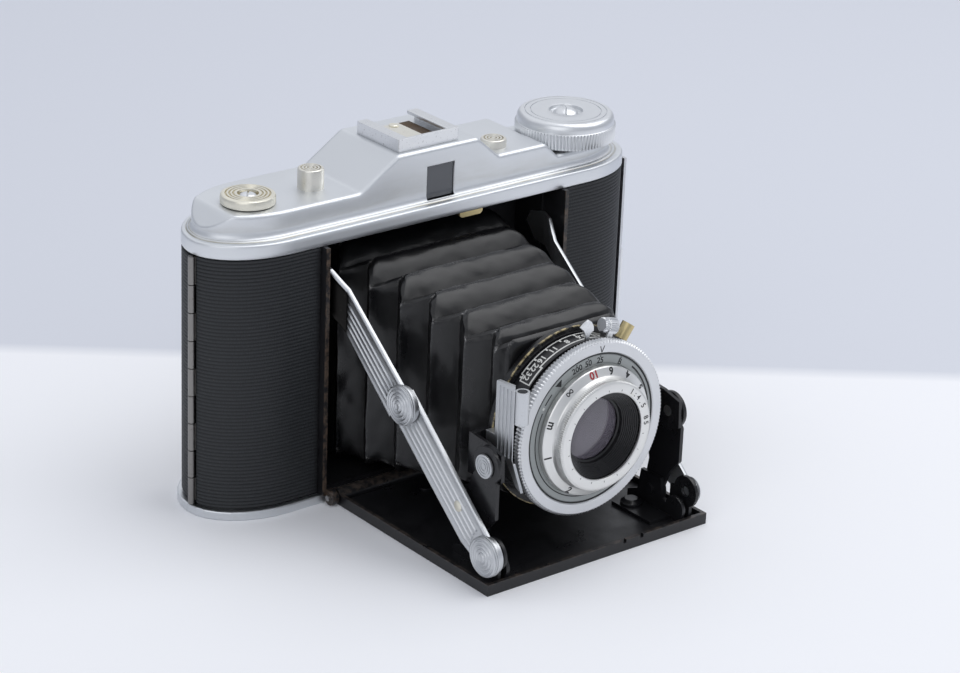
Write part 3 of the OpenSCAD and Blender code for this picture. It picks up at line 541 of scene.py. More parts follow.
def cover():
    """The top cover: its rim and bead, the wall, the rounded shoulder, and the roof up to a middle ridge."""
    rim_line = outline(HALF_W, HALF_D, END_REACH, 0)
    wall_line = outline(UPPER_HALF_W, UPPER_HALF_D, UPPER_REACH, UPPER_MID_Y)
    ridge_line = outline(UPPER_HALF_W - UPPER_HALF_D, 0, UPPER_REACH - UPPER_HALF_D, UPPER_MID_Y)
    points, grime = [], []

    def ring(spots, dirt=0.0):
        points.extend(spots)
        grime.extend([dirt] * len(spots))

    for share, rise in RIM:
        near = min(abs(share - g) for g in GROOVES)
        dirt = 0.9 * max(0.0, 1 - near / 0.09)
        ring([(*a.lerp(b, share), CASE_TOP + rise) for a, b in zip(rim_line, wall_line)], dirt)
    edges = [blend(END_SHOULDER, SHOULDER, eased((p.x - SLOPE_END) / 3)) for p in wall_line]
    tops = [max(roof(*p) - edge, WALL_FOOT + 0.1) for p, edge in zip(wall_line, edges)]
    for step in (0.15, 0.4, 0.7, 1.0):
        ring([(*p, blend(WALL_FOOT, top, step)) for p, top in zip(wall_line, tops)], 0.25 * (1 - step))
    for a in [math.radians(9 * k) for k in range(1, 11)]:
        spots = [p.lerp(q, edge * (1 - math.cos(a)) / UPPER_HALF_D)
                 for p, q, edge in zip(wall_line, ridge_line, edges)]
        ring([(*p, blend(top, max(roof(*p), top), math.sin(a))) for p, top in zip(spots, tops)])
    for k in range(1, 21):
        spots = [p.lerp(q, blend(edge / UPPER_HALF_D, 1, k / 20))
                 for p, q, edge in zip(wall_line, ridge_line, edges)]
        ring([(*p, roof(*p)) for p in spots])
    count = len(rim_line)
    rows = len(points) // count
    made = piece("top_housing", points, quads(rows, count, close_columns=True), "body", COVER,
                 ["top_cover"], 60, {"grime": grime})
    open_window(made)
    shell = made.modifiers.new("sheet", "SOLIDIFY")
    shell.thickness = SHEET * MM
    shell.offset = -1
    return made


def open_window(made):
    """Cuts the finder's front and rear openings through the housing."""
    work = bmesh.new()
    work.from_mesh(made.data)
    for axis, values in ((0, WINDOW_X), (2, WINDOW_Z)):
        for value in values:
            spot, way = Vector(), Vector()
            spot[axis], way[axis] = value * MM, 1
            everything = work.verts[:] + work.edges[:] + work.faces[:]
            bmesh.ops.bisect_plane(work, geom=everything, dist=1e-7, plane_co=spot, plane_no=way)
    inside = [f for f in work.faces
              if all(low * MM < f.calc_center_median()[axis] < high * MM
                     for axis, (low, high) in ((0, WINDOW_X), (2, WINDOW_Z)))]
    bmesh.ops.delete(work, geom=inside, context="FACES")
    work.to_mesh(made.data)
    work.free()


# ---- ribbed covering ----

RIB_PITCH = 1.02
RIB_DEPTH = 0.22
CLOTH_T = 0.6
CLOTH_SINK = 0.1                     # how far the cloth lies inside the cover's outline
CLOTH_END = -1.95                    # y where the front's cloth ends


def end_curve(inset, y_end, steps, x_start, side=1):
    """The casing outline seen from above: from x_start along the front, round one end to y_end."""
    half_d, reach = HALF_D - inset, END_REACH - inset
    straight = HALF_W - END_REACH
    last = math.asin(y_end / (half_d * (BACK_SCALE if y_end > 0 else 1)))
    flat = [(blend(side * (x_start - side * MID_X), straight * side, i / 6), -half_d) for i in range(6)]
    turn = [blend(-math.pi / 2, last, i / steps) for i in range(steps + 1)]
    bend = [(side * (straight + reach * math.cos(a)), half_d * math.sin(a)) for a in turn]
    return [cased(*p) for p in flat + bend]


def ribbed(name, path, levels, body, replaces, flip=1, samples=6):
    """Ribbed cloth that stands on a path seen from above, outward to its right."""
    z0, z1 = levels
    rows = int((z1 - z0) / RIB_PITCH * samples)
    outward = []
    for i in range(len(path)):
        along = path[min(i + 1, len(path) - 1)] - path[max(i - 1, 0)]
        outward.append(Vector((along.y, -along.x)).normalized() * flip)
    points, crest = [], []
    for r in range(rows + 1):
        z = blend(z0, z1, r / rows)
        lift = abs(math.sin(math.pi * (z - z0) / RIB_PITCH))
        edge = min(1.0, min(z - z0, z1 - z) / 0.5)
        for i, (p, n) in enumerate(zip(path, outward)):
            side = min(1, i, len(path) - 1 - i)
            rough = 0.02 * noise.noise(Vector((i * 0.9, z * 2.5, 3.0)))
            out = -RIB_DEPTH + (RIB_DEPTH * lift + rough) * side - 0.2 * (1 - edge)
            points.append((p.x + n.x * out, p.y + n.y * out, z))
            # crest marks the rib tops, which get a painted highlight
            crest.append(lift * side)
    for r in range(rows + 1):
        z = blend(z0, z1, r / rows)
        points += [(p.x - n.x * CLOTH_T, p.y - n.y * CLOTH_T, z) for p, n in zip(path, outward)]
    crest += [0.0] * (len(points) - len(crest))
    faces = thick_grid(rows + 1, len(path))
    return piece(name, points, faces, body, CLOTH, replaces, 60, {"crest": crest})


def coverings():
    ribbed("cloth_right", end_curve(CLOTH_SINK, CLOTH_END, 44, DOOR_EDGE), LEATHER_Z, "body", ["leather_right"])
    left = end_curve(CLOTH_SINK, CLOTH_END, 44, DOOR_EDGE, -1)
    ribbed("cloth_left", left, LEATHER_Z, "body", ["leather_left"], flip=-1)
    half_d, reach, straight = HALF_D - CLOTH_SINK, END_REACH - CLOTH_SINK, HALF_W - END_REACH
    first = math.asin(0.55 / (half_d * BACK_SCALE))
    last = math.acos((corner("back_leather", 1, 0) - MID_X - straight) / reach)
    steps = 40
    left = [blend(first, math.pi / 2, i / steps) for i in range(steps + 1)]
    right = [blend(math.pi / 2, last, i / steps) for i in range(steps + 1)]
    rear = [cased(-straight - reach * math.cos(a), half_d * math.sin(a)) for a in left]
    rear += [cased(blend(-straight, straight, i / 12), half_d) for i in range(1, 12)]
    rear += [cased(straight + reach * math.cos(a), half_d * math.sin(a)) for a in right]
    ribbed("cloth_back", rear, BACK_LEATHER_Z, "back", ["back_leather"], flip=-1, samples=4)


# ---- bellows ----

# Depths of the folds: (y, 1 where the loop is wide and 0 where it is narrow)
FOLDS = [(3.5, 0.3), (-0.3, 0), (-6.6, 1), (-12.2, 0), (-18.2, 1), (-23.9, 0), (-29.8, 1), (-35.5, 0),
         (-41.3, 1), (-47.1, 0), (-53.0, 1), (-58.7, 0), (-62.4, 0.7), (-64.6, 0.2)]
FOLD_STEPS = 11
FRONT_Y = -65.85
SKIN_T = 0.35
# Sizes of the wide and the narrow loops at two depths, y NEAR_Y and y FAR_Y
NEAR_Y, FAR_Y = -9, -60
WIDE = {"half": (29.4, 22.4), "top": (62.6, 57.3), "low": (9.0, 17.8)}
NARROW = {"half": (24.8, 18.4), "top": (67.0, 61.0), "low": (5.0, 14.4)}


def along_fold(values, y):
    """A size of the wide or narrow loops at a depth."""
    return blend(*values, (NEAR_Y - y) / (NEAR_Y - FAR_Y))


def quarter_loop(wide, half, top, mid):
    """One quarter of a loop from the top middle to the side middle: (x, z, near a corner fold, on the side)."""
    cut = blend(2.4, 1.3, wide)
    drop = blend(0.7, 0.35, wide)
    sag = 0.35 * math.sin(math.pi * wide)
    bow = 0.3 * wide
    at_top, at_side = Vector((half - cut, top)), Vector((half, top - drop - cut))
    tip = Vector((half - 0.25 * cut, top - drop - 0.2 * cut))
    points = [(blend(0, at_top.x, i / 18), top + (bow - sag) * math.cos(math.pi / 2 * i / 18), 0.0, 0.0)
              for i in range(18)]
    points += [(*at_top.lerp(tip, i / 5), 0.2 + 0.8 * i / 5, 0.0) for i in range(5)]
    points += [(*tip.lerp(at_side, i / 5), 1 - i / 5, 1.0) for i in range(5)]
    points += [(at_side.x - sag * math.sin(math.pi / 2 * i / 16), blend(at_side.y, mid, i / 16), 0.0, 1.0)
               for i in range(17)]
    return points


def full_loop(wide, y, power=1.0):
    """A whole loop. Above and below, power makes a fold droop late, so that a steep riser ends it."""
    shares = {"half": wide, "top": wide ** power, "low": wide ** power}
    sizes = {k: blend(along_fold(NARROW[k], y), along_fold(WIDE[k], y), shares[k]) for k in WIDE}
    mid = (sizes["top"] + sizes["low"]) / 2
    quarter = quarter_loop(wide, sizes["half"], sizes["top"], mid)
    right = quarter + [(x, 2 * mid - z, k, s) for x, z, k, s in reversed(quarter[:-1])]
    return right + [(-x, z, k, s) for x, z, k, s in reversed(right[1:-1])], mid


def bellows():
    """Loops that grow and shrink from the casing to the standard, uneven by a smooth noise."""
    points, fold, worn, valley = [], [], [], []

    def ring(loop, mid, y, crease, push, wide, close=0.0):
        for x, z, k, s in loop:
            seed = Vector((x * 0.13, y * 0.22, z * 0.13))
            wobble = (noise.noise(seed) * 0.34 + noise.noise(seed * 4.3) * 0.09) * push
            shift = noise.noise(seed * 2.1 + Vector((9, 4, 2))) * (0.3 + 0.8 * k) * push
            points.append((blend(x, 0, close) + x / 28 * wobble, y + shift,
                           blend(z, mid, close) + (z - mid) / 34 * wobble))
            fold.append(crease)
            worn.append(crease * k)
            # valley marks the fold valleys, where the skin gets painted shade
            valley.append((1 - wide if s else wide) ** 2)

    for (y0, w0), (y1, w1) in zip(FOLDS, FOLDS[1:]):
        for i in range(FOLD_STEPS):
            share = i / FOLD_STEPS
            y, wide = blend(y0, y1, share), blend(w0, w1, share)
            loop, mid = full_loop(blend(wide, eased(wide), 0.12), y, 2.2 if w1 > w0 else 0.8)
            crease = max(0.0, 1 - min(share, 1 - share) / 0.1)
            ring(loop, mid, y, crease if y < 0 else 0.0, min(1.0, max(0.0, (2 - y) / 5)), wide)
    loop, mid = full_loop(FOLDS[-1][1], FOLDS[-1][0])
    ring(loop, mid, FOLDS[-1][0], 0.5, 0.6, 0.3)
    for y, close in ((-65.4, 0.02), (FRONT_Y, 0.06), (FRONT_Y, 0.3)):
        ring(loop, mid, y, 0.0, 0.0, 0.3, close)
    columns = len(loop)
    faces = quads(len(points) // columns, columns, close_columns=True)
    made = piece("bellows_folds", points, faces, "body", SKIN, ["bellows"], 50,
                 {"fold": fold, "worn": worn, "valley": valley})
    skin = made.modifiers.new("skin", "SOLIDIFY")
    skin.thickness = SKIN_T * MM
    skin.offset = -1
    settle(made)
    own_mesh(made)


# ---- turned parts ----

def turned_part(name, profile, centre, out, body, mat, replaces=(), segments=96, teeth=None, angle=30):
    """A profile of (radius, height) or (radius, height, dirt) turned round a line. teeth is (count, depth,
    least radius, greatest height)."""
    def cut(i, r, h):
        if teeth and r >= teeth[2] and h <= teeth[3]:
            return tooth_gap(i, segments, teeth[0], teeth[1])
        return 0
    points, faces = turned([p[:2] for p in profile], centre, out, segments, cut)
    dirt = [p[2] if len(p) > 2 else 0.0 for p in profile for _ in range(segments)]
    return piece(name, points, faces, body, mat, replaces, angle, {"grime": dirt})


def ringed_top(radii, level, depth=0.35, width=0.2):
    """Profile points inward across a flat top with fine grooves at those radii."""
    points = []
    for r in radii:
        points += [(r + width, level), (r + width * 0.55, level - depth, 1.0),
                   (r - width * 0.55, level - depth, 1.0), (r - width, level)]
    return points


def slot_through(made, centre, size, turn):
    """Cuts a screwdriver slot: a box of that size at centre, turned about z."""
    bpy.ops.mesh.primitive_cube_add(size=1)
    cutter = bpy.context.object
    cutter.scale = [v * MM for v in size]
    cutter.rotation_euler = (0, 0, math.radians(turn))
    cutter.location = Vector(centre) * MM
    bpy.context.view_layer.update()
    saw = made.modifiers.new("slot", "BOOLEAN")
    saw.object = cutter
    saw.solver = "EXACT"
    settle(made)
    bpy.data.objects.remove(cutter)
    smooth_shade(made.data, 30)


SLOT_TURN = -39                     # both screws were left with their slots pointing the same way


def winding_knob():
    z, r = KNOB_LEVEL + 0.6, KNOB_R
    profile = [(0, 0), (r - 1.2, 0), (r - 0.3, 0.05), (r, 0.35), (r, 4.2), (r - 0.35, 4.5), (r - 0.5, 4.62),
               (r - 0.5, 5.5), (r - 0.6, 6.1), (r - 0.85, 6.7), (r - 1.25, 7.15), (r - 1.75, 7.4),
               (r - 2.2, 7.48)]
    profile += ringed_top([r - 2.7, 10.0], 7.52, 0.25, 0.13) + [(8.4, 7.6)]
    profile += [(5.1, 7.6), (4.9, 7.5), (4.8, 7.2, 0.6), (4.7, 6.7, 1.0), (4.2, 6.6, 0.5), (0, 6.6)]
    turned_part("knob_turned", profile, (KNOB_X, 0, z), (0, 0, 1), "winding", KNOB,
                ["winding_knob"], 720, (90, 0.5, r - 0.05, 4.25), 32)
    dome = [(0, 6.4), (3.5, 6.4), (3.5, 6.85), (3.3, 7.15), (2.9, 7.45), (2.3, 7.8), (1.6, 8.1), (0.8, 8.3),
            (0, 8.36)]
    screw = turned_part("knob_screw", dome, (KNOB_X, 0, z), (0, 0, 1), "winding", KNOB,
                        ["winding_screw"], 72)
    slot_through(screw, (KNOB_X, 0, z + 8.2), (0.5, 9, 2.6), SLOT_TURN)


def buttons():
    """The two cream buttons, release and bed, and the pull knob of the supply spool with its screw."""
    for name, spot, r, top, body, node_name in (
            ("release_turned", (-34.5, 0.5), 3.6, 90.7, "release", "release_button"),
            ("bed_turned", (24.5, -3.5), 3.65, 89.2, "bed_release", "bed_button")):
        profile = [(0, -8), (r, -8), (r, -0.5), (r - 0.15, -0.15), (r - 0.4, 0)]
        profile += ringed_top([2.6, 1.7, 0.8], 0, 0.3, 0.2) + [(0, 0)]
        turned_part(name, profile, (*spot, top), (0, 0, 1), body, BUTTON, [node_name], 80)
    x = sum(span("supply_knob", 0)) / 2
    r, top = corner("supply_knob", 1, 0) - x, corner("supply_knob", 1, 2)
    profile = [(0, -18), (2.5, -18), (2.5, -2.6), (r - 0.3, -2.6), (r, -2.4), (r, -0.7), (r - 0.2, -0.25),
               (r - 0.6, -0.05)]
    profile += ringed_top([5.9, 4.9, 3.9], 0, 0.28, 0.26)
    profile += [(2.9, 0), (2.8, -0.5, 0.8), (2.75, -1.0, 1.0), (0, -1.0)]
    turned_part("pull_knob_turned", profile, (x, 0, top), (0, 0, 1), "supply_pin", IVORY,
                ["supply_knob"], 96)
    dome = [(0, -1.2), (2.35, -1.2), (2.35, -0.7), (2.1, -0.4), (1.4, -0.12), (0.7, -0.02), (0, 0)]
    screw = turned_part("pull_knob_screw", dome, (x, 0, top), (0, 0, 1), "supply_pin", KNOB,
                        ["supply_screw"], 64)
    slot_through(screw, (x, 0, top), (0.5, 6, 1.5), SLOT_TURN)


def shoe_parts():
    """The cream ribbed spring in the accessory shoe, its dot, and the rusty well behind it."""
    (x0, x1), (y0, y1) = span("accessory_shoe", 0), span("accessory_shoe", 1)
    mid, floor = (x0 + x1) / 2, corner("shoe_spring", 0, 2)
    ribs = 13
    left, right = mid - 5.6, mid + 1.6
    top = [(blend(left, right, i / (ribs * 4)), floor + 0.75 + 0.16 * abs(math.sin(math.pi * i / 4)))
           for i in range(ribs * 4 + 1)]
    depths = (y0 + 3.4, y1 - 5.5, y1 - 3.2)
    rows = [(x, y, z) for y in depths for x, z in top]
    base = [(x, y, floor + 0.02) for y in depths for x, z in top]
    piece("spring_ribbed", rows + base, thick_grid(len(depths), len(top)), "body", BUTTON,
          ["shoe_spring", "shoe_rivets"], 25, {"grime": [0.0] * len(rows + base)})
    turned_part("spring_dot", [(0, 0), (1.3, 0), (1.3, 0.5), (1.1, 0.65), (0, 0.7)],
                (mid - 1.2, y1 - 4.6, floor + 0.7), (0, 0, 1), "body", IVORY, (), 40)
    well = [(x, y, floor + h) for h in (0.01, 0.12) for y in (y0 + 6, y1 - 1.6) for x in (mid + 2.2, mid + 6.4)]
    piece("well_dark", well, thick_grid(2, 2), "body", HOLE)


# ---- struts ----

# Pivots in y and z, on both sides of the camera
BODY_PIVOT = Vector((-9, 62.5))
KNEE = Vector((-45.9, 39.5))
FOOT = Vector((-81.1, 9.7))
STUD = Vector((-68.0, 18.6))
# Distances of the arms' outer faces from the middle
LOWER_FACE = 35.4
UPPER_FACE = 36.8
PIVOT_FACE = 39.2
HEAD_R = 5.5
PLAIN_HEAD_R = 3.6
ARM_T = 1.0
ARM_GROOVES = (0.255, 0.415, 0.575, 0.735)      # shares of an arm's width


def arm_section():
    """Points across an arm's face: (share of the width, bead height, groove depth)."""
    section = [(0, -0.55, 0), (0.004, -0.2, 0), (0.022, 0.08, 0), (0.05, 0.16, 0), (0.08, 0.08, 0), (0.1, 0, 0),
               (0.16, 0, 0)]
    hollow = ((0.048, 0), (0.036, 0.5), (0.02, 0.93))
    for g in ARM_GROOVES:
        section += [(g - w, 0, v) for w, v in hollow] + [(g, 0, 1)]
        section += [(g + w, 0, v) for w, v in reversed(hollow)]
    return section + [(1 - w, v, g) for w, v, g in reversed(section[:7])]


def arm(name, side, stations, heads, body, node_name, steps=26):
    """A pressed arm. Each station is (lower point, upper point, face distance, groove share)."""
    section = arm_section()
    rows = []
    for (l0, u0, x0, g0), (l1, u1, x1, g1) in zip(stations, stations[1:]):
        for i in range(steps):
            t = i / steps
            low, high = Vector(l0).lerp(Vector(l1), t), Vector(u0).lerp(Vector(u1), t)
            rows.append((low, high, blend(x0, x1, t), min(g0, g1)))
    last = stations[-1]
    rows.append((Vector(last[0]), Vector(last[1]), last[2], last[3]))
    points, dark = [], []
    for low, high, face, share in rows:
        for w, bead, groove in section:
            # Painted shade: the groove-less bent upper end of the arm is marked to be darkened near black.
            dark.append(1.0 if share == 0 and w < 0.93 else 0.0)
            at = low.lerp(high, w)
            room = min((at - h).length for h in heads)
            depth = 0.32 * groove * share * eased((room - 6.9) / 0.7)
            points.append((side * (face + bead - depth), at.x, at.y))
        for w in (1, 0):
            at = low.lerp(high, w)
            points.append((side * (face - ARM_T), at.x, at.y))
            dark.append(0.0)
    columns = len(section) + 2
    faces = quads(len(rows), columns, close_columns=True)
    faces += [tuple(range(columns)), tuple((len(rows) - 1) * columns + k for k in range(columns))]
    return piece(name, points, faces, body, STRUT, [node_name], 28, {"dark": dark})


def stacked_head(name, side, at, face, height, body, pin, r):
    """A strut rivet: a grooved rim like stacked discs, and a low dome with sharp rings."""
    profile = [(1.4, -pin), (1.4, -1.1), (r - 0.5, -1.1), (r - 0.4, -0.1), (r - 0.15, 0.05), (r, 0.2)]
    layers = 2 if height > 1 else 0
    for k in range(layers):
        top = 0.3 + (height - 0.5) / 2 * (k + 1)
        profile += [(r, top - 0.35), (r - 0.1, top - 0.2), (r - 0.35, top - 0.12), (r - 0.1, top)]
    profile += [(r - 0.2, height), (r - 0.5, height + 0.15)]
    for k in range(4):
        edge = r - 0.85 - (r - 1.2) / 4 * k
        lift = height + 0.12 + 0.14 * (k + 1)
        profile += [(edge, lift - 0.34), (edge - 0.12, lift - 0.3), (edge - 0.3, lift),
                    (edge - 0.55, lift + 0.06)]
    profile += [(0.5, height + 0.6), (0, height + 0.62)]
    turned_part(name, [(0, -pin)] + profile, (side * face, *at), (side, 0, 0), body, STRUT,
                angle=24)


def struts():
    """The left arms carry heads of stacked discs; the right ones are plain, narrower and flatter."""
    along = (FOOT - KNEE).normalized()
    rear = Vector((-along.y, along.x))
    for side, word, trim, sunk in ((-1, "left", 0, 0), (1, "right", 1.6, 0.75)):
        lower, upper = LOWER_FACE - sunk, UPPER_FACE - sunk
        rear_edge, front_edge = 7.9 - trim, 3.4 - trim
        # Past which pivot, how far beyond it along the arm, and how wide the arm is to the rear of it
        low = [(at + rear * wide + along * past, at - rear * front_edge + along * past, lower, 1.0)
               for at, past, wide in ((KNEE, -2, rear_edge + 0.8), (FOOT, -8, rear_edge),
                                      (FOOT, -3.6, rear_edge - 1.3), (FOOT, 1.5, 3.4))]
        arm(f"arm_lower_{word}", side, low, (FOOT,), f"strut_lower_{word}", f"strut_lower_{word}")
        shape = [((-39.7, 33.5), (-46.6, 42.6), upper, 1.0),
                 ((-20.0, 50.3), (-20.3, 62.9), upper, 1.0),
                 ((-19.8, 50.5), (-20.1, 63.1), upper + 0.02, 0.0),
                 ((-18.2, 52.4), (-17.9, 64.8), upper + 0.9, 0.0),
                 ((-15.4, 54.6), (-14.9, 67.5), upper + 2.2, 0.0),
                 ((-11.5, 56.9), (-11.0, 68.3), PIVOT_FACE - 0.1, 0.0),
                 ((-6.5, 57.4), (-5.6, 66.8), PIVOT_FACE, 0.0),
                 ((-4.4, 60.2), (-4.0, 63.6), PIVOT_FACE, 0.0)]
        narrowed = Vector((0.6, -0.8)) * trim * 1.3
        high = [(Vector(a), Vector(b) + narrowed, face, share) for a, b, face, share in shape]
        arm(f"arm_upper_{word}", side, high, (KNEE,), f"strut_upper_{word}", f"strut_upper_{word}", 14)
        stack = 1.9 if side < 0 else 0.5
        r = HEAD_R if side < 0 else PLAIN_HEAD_R
        stacked_head(f"foot_{word}", side, FOOT, lower, stack, f"strut_lower_{word}", lower - 33.5, r)
        stacked_head(f"knee_{word}", side, KNEE, upper, stack - 0.2, f"strut_upper_{word}", 1.5, r)
        turned_part(f"stud_{word}", [(0, -0.9), (1.5, -0.9), (1.5, 0.05), (1.35, 0.12), (0, 0.16)],
                    (side * lower, *STUD), (side, 0, 0), f"strut_lower_{word}", IVORY, (), 48)
        turned_part(f"pivot_{word}", [(0, -0.5), (2.6, -0.5), (2.6, 0.1), (2.2, 0.5), (0, 0.7)],
                    (side * PIVOT_FACE, *BODY_PIVOT), (side, 0, 0), f"strut_upper_{word}", STRUT,
                    (), 48)


# ---- shutter controls ----

def spread_plate(name, outline, depth, thick, body, mat, replaces=(), edge=0.1):
    """A flat shape drawn in x and z whose front is at that depth."""
    count = len(outline)
    points = [(x, -depth, z) for x, z in outline] + [(x, -depth + thick, z) for x, z in outline]
    faces = [tuple(range(count)), tuple(range(count, 2 * count))]
    faces += [(i, (i + 1) % count, (i + 1) % count + count, i + count) for i in range(count)]
    made = piece(name, points, faces, body, mat, replaces, 30, {"grime": [0.0] * len(points)})
    edge_mod = made.modifiers.new("edge", "BEVEL")
    edge_mod.width = edge * MM
    edge_mod.segments = 2
    return made


LEVER_DEPTH = 75.0
COCKING_CLOCK = 18.5                # where the release lever stands at rest


def levers():
    """The aperture's leaf, and the release lever with its knurled grip."""
    leaf = [(-2.5, 63.3), (-1.4, 64.2), (0.2, 65.0), (1.3, 64.2), (2.0, 62.9), (2.1, 61.6), (1.3, 61.2),
            (0.7, 60.4), (0.6, 57.4), (-0.6, 57.4), (-0.6, 60.8), (-1.5, 62.4)]
    spread_plate("aperture_leaf", leaf, LEVER_DEPTH, 0.6, "aperture", BRIGHT,
                 ["aperture_lever"])
    out, across = spokes(COCKING_CLOCK)
    middle = lens_point(26.9, 73.7, COCKING_CLOCK)
    grip = [(0, -2.9), (1.7, -2.9), (2.0, -2.6), (2.0, -1.6), (1.75, -1.45), (1.75, -1.2), (2.15, -1.0),
            (2.25, 1.6), (2.0, 1.9), (1.2, 2.15), (1.15, 2.6), (0, 2.7)]
    turned_part("cocking_grip", grip, middle, across, "release_lever", BRIGHT,
                ["cocking_lever"], 176, (22, 0.3, 1.9, 9))
    h = LEVER_DEPTH
    ring = [(20, h - 0.7), (22.8, h - 0.7), (22.8, h), (20, h)]
    lathe("cocking_ring", ring, "release_lever", DRUM, (), 96)
    a, b = lens_point(22, h, COCKING_CLOCK), lens_point(27.3, h, COCKING_CLOCK)
    bar = [(q.x, q.z) for q in (a - across, b - across * 0.8, b + across * 0.8, a + across)]
    spread_plate("cocking_arm", bar, h, 0.7, "release_lever", BRIGHT)


# ---- dials ----

class Marks:
    """Painted marks gathered into one mesh. Every mark is a thin closed solid, sunk a little into its face."""

    def __init__(self):
        self.points, self.faces = [], []

    def add(self, points, faces):
        start = len(self.points)
        self.points.extend(points)
        self.faces.extend(tuple(start + k for k in f) for f in faces)

    def patch(self, surface, clock, across, steps=8, lift=0.035, sink=0.05):
        """A strip on surface(clock, across, lift), between two clock angles and two values of across."""
        rows = []
        for i in range(steps + 1):
            a = blend(clock[0], clock[1], i / steps)
            rows += [surface(a, across[0], -sink), surface(a, across[1], -sink),
                     surface(a, across[1], lift), surface(a, across[0], lift)]
        faces = quads(steps + 1, 4, close_columns=True)
        self.add(rows, faces + [(0, 1, 2, 3), tuple(4 * steps + k for k in range(4))])

    def text(self, words, size, origin, right, up, depth=0.035, bold=0.02):
        """A numeral or sign of that height, centred on origin."""
        curve = bpy.data.curves.new("sign", "FONT")
        curve.body, curve.size, curve.extrude = words, size * 1.35, depth
        curve.offset = size * bold
        curve.align_x, curve.align_y, curve.resolution_u = "CENTER", "CENTER", 3
        holder = bpy.data.objects.new("sign", curve)
        scene.collection.objects.link(holder)
        bpy.context.view_layer.update()
        mesh = bpy.data.meshes.new_from_object(holder.evaluated_get(bpy.context.evaluated_depsgraph_get()))
        out = right.cross(up)
        self.add([origin + right * v.co.x + up * v.co.y + out * v.co.z for v in mesh.vertices],
                 [tuple(f.vertices) for f in mesh.polygons])
        bpy.data.objects.remove(holder)

    def make(self, name, body, mat, slot):
        return piece(name, self.points, self.faces, body, mat, angle=20)


def on_face(depth):
    return lambda clock, r, lift: lens_point(r, depth + lift, clock)


def on_drum(radius):
    return lambda clock, h, lift: lens_point(radius + lift, h, clock)


def speed_dial():
    """The toothed speed ring with its V-shaped index, and the grey dial with its numbers, with a black ring of
    painted shade in the gap between dial and ring.
    """
    r0, r1, h0, h1 = 21.0, RING_R, RING_BACK, RING_FRONT
    profile = [(r0, h0), (r0, h1 - 0.25), (r0 + 0.25, h1), (r1 - 0.75, h1), (r1 - 0.3, h1 - 0.2),
               (r1, h1 - 0.55), (r1, h0 + 0.4), (r1 - 0.3, h0)]
    lathe("speed_ring_turned", profile, "speed_dial", RING, ["speed_ring"], 900,
          (150, 0.5, r1 - 0.6, 0), 25)
    index = Marks()
    for lean in (-1, 1):
        def stroke(clock, r, lift, lean=lean):
            return lens_point(r, h1 + lift, 5.4 + lean * (r - 21.3) * 0.95 + clock)
        index.patch(stroke, (-0.35, 0.35), (21.3, 23.1), 3)
    index.make("speed_index", "speed_dial", INK, "ring_metal")

    lathe("dial_turned", [(9.8, 76.1), (9.8, DIAL_FRONT), (17.9, DIAL_FRONT), (18.1, DIAL_FRONT - 0.15),
                          (18.3, DIAL_FRONT), (20.4, DIAL_FRONT), (20.75, DIAL_FRONT - 0.3), (20.75, 76.1)],
          "standard", DIAL, ["face_plate"])
    marks, face = Marks(), on_face(DIAL_FRONT)
    for words, clock, tick in (("200", -17.9, -17.5), ("50", -6.4, -6.2), ("25", 5.6, 5.5), ("B", 27, 26.6)):
        out, across = spokes(clock)
        marks.text(words, 1.7, lens_point(19.0, DIAL_FRONT, clock), across, out)
        marks.patch(face, (tick - 0.5, tick + 0.5), (20, 20.35), 3)
    marks.patch(face, (42, 80), (19.3, 19.75), 30)
    marks.patch(face, (-57, -47), (19.0, 19.35), 10)
    marks.patch(face, (-195, -63.5), (18.75, 19.05), 60)
    marks.patch(lambda clock, r, lift: lens_point(r, DIAL_FRONT + lift, -37.2 + clock * (r - 18.2)),
                (-2.2, 2.2), (18.2, 19.9), 6)
    marks.make("dial_marks", "standard", INK, "dial_grey")
    dots = Marks()
    dots.patch(face, (-61, -59), (18.85, 19.5), 5)
    dots.make("dial_dot", "standard", WHITE, "dial_grey")
    # Painted shade: a black ring fills the gap between the dial and the speed ring.
    groove = Marks()
    groove.patch(face, (0, 360), (20.62, 20.98), 180, lift=0.02, sink=0.4)
    groove.make("dial_gap_shade", "standard", INK, "dial_grey")


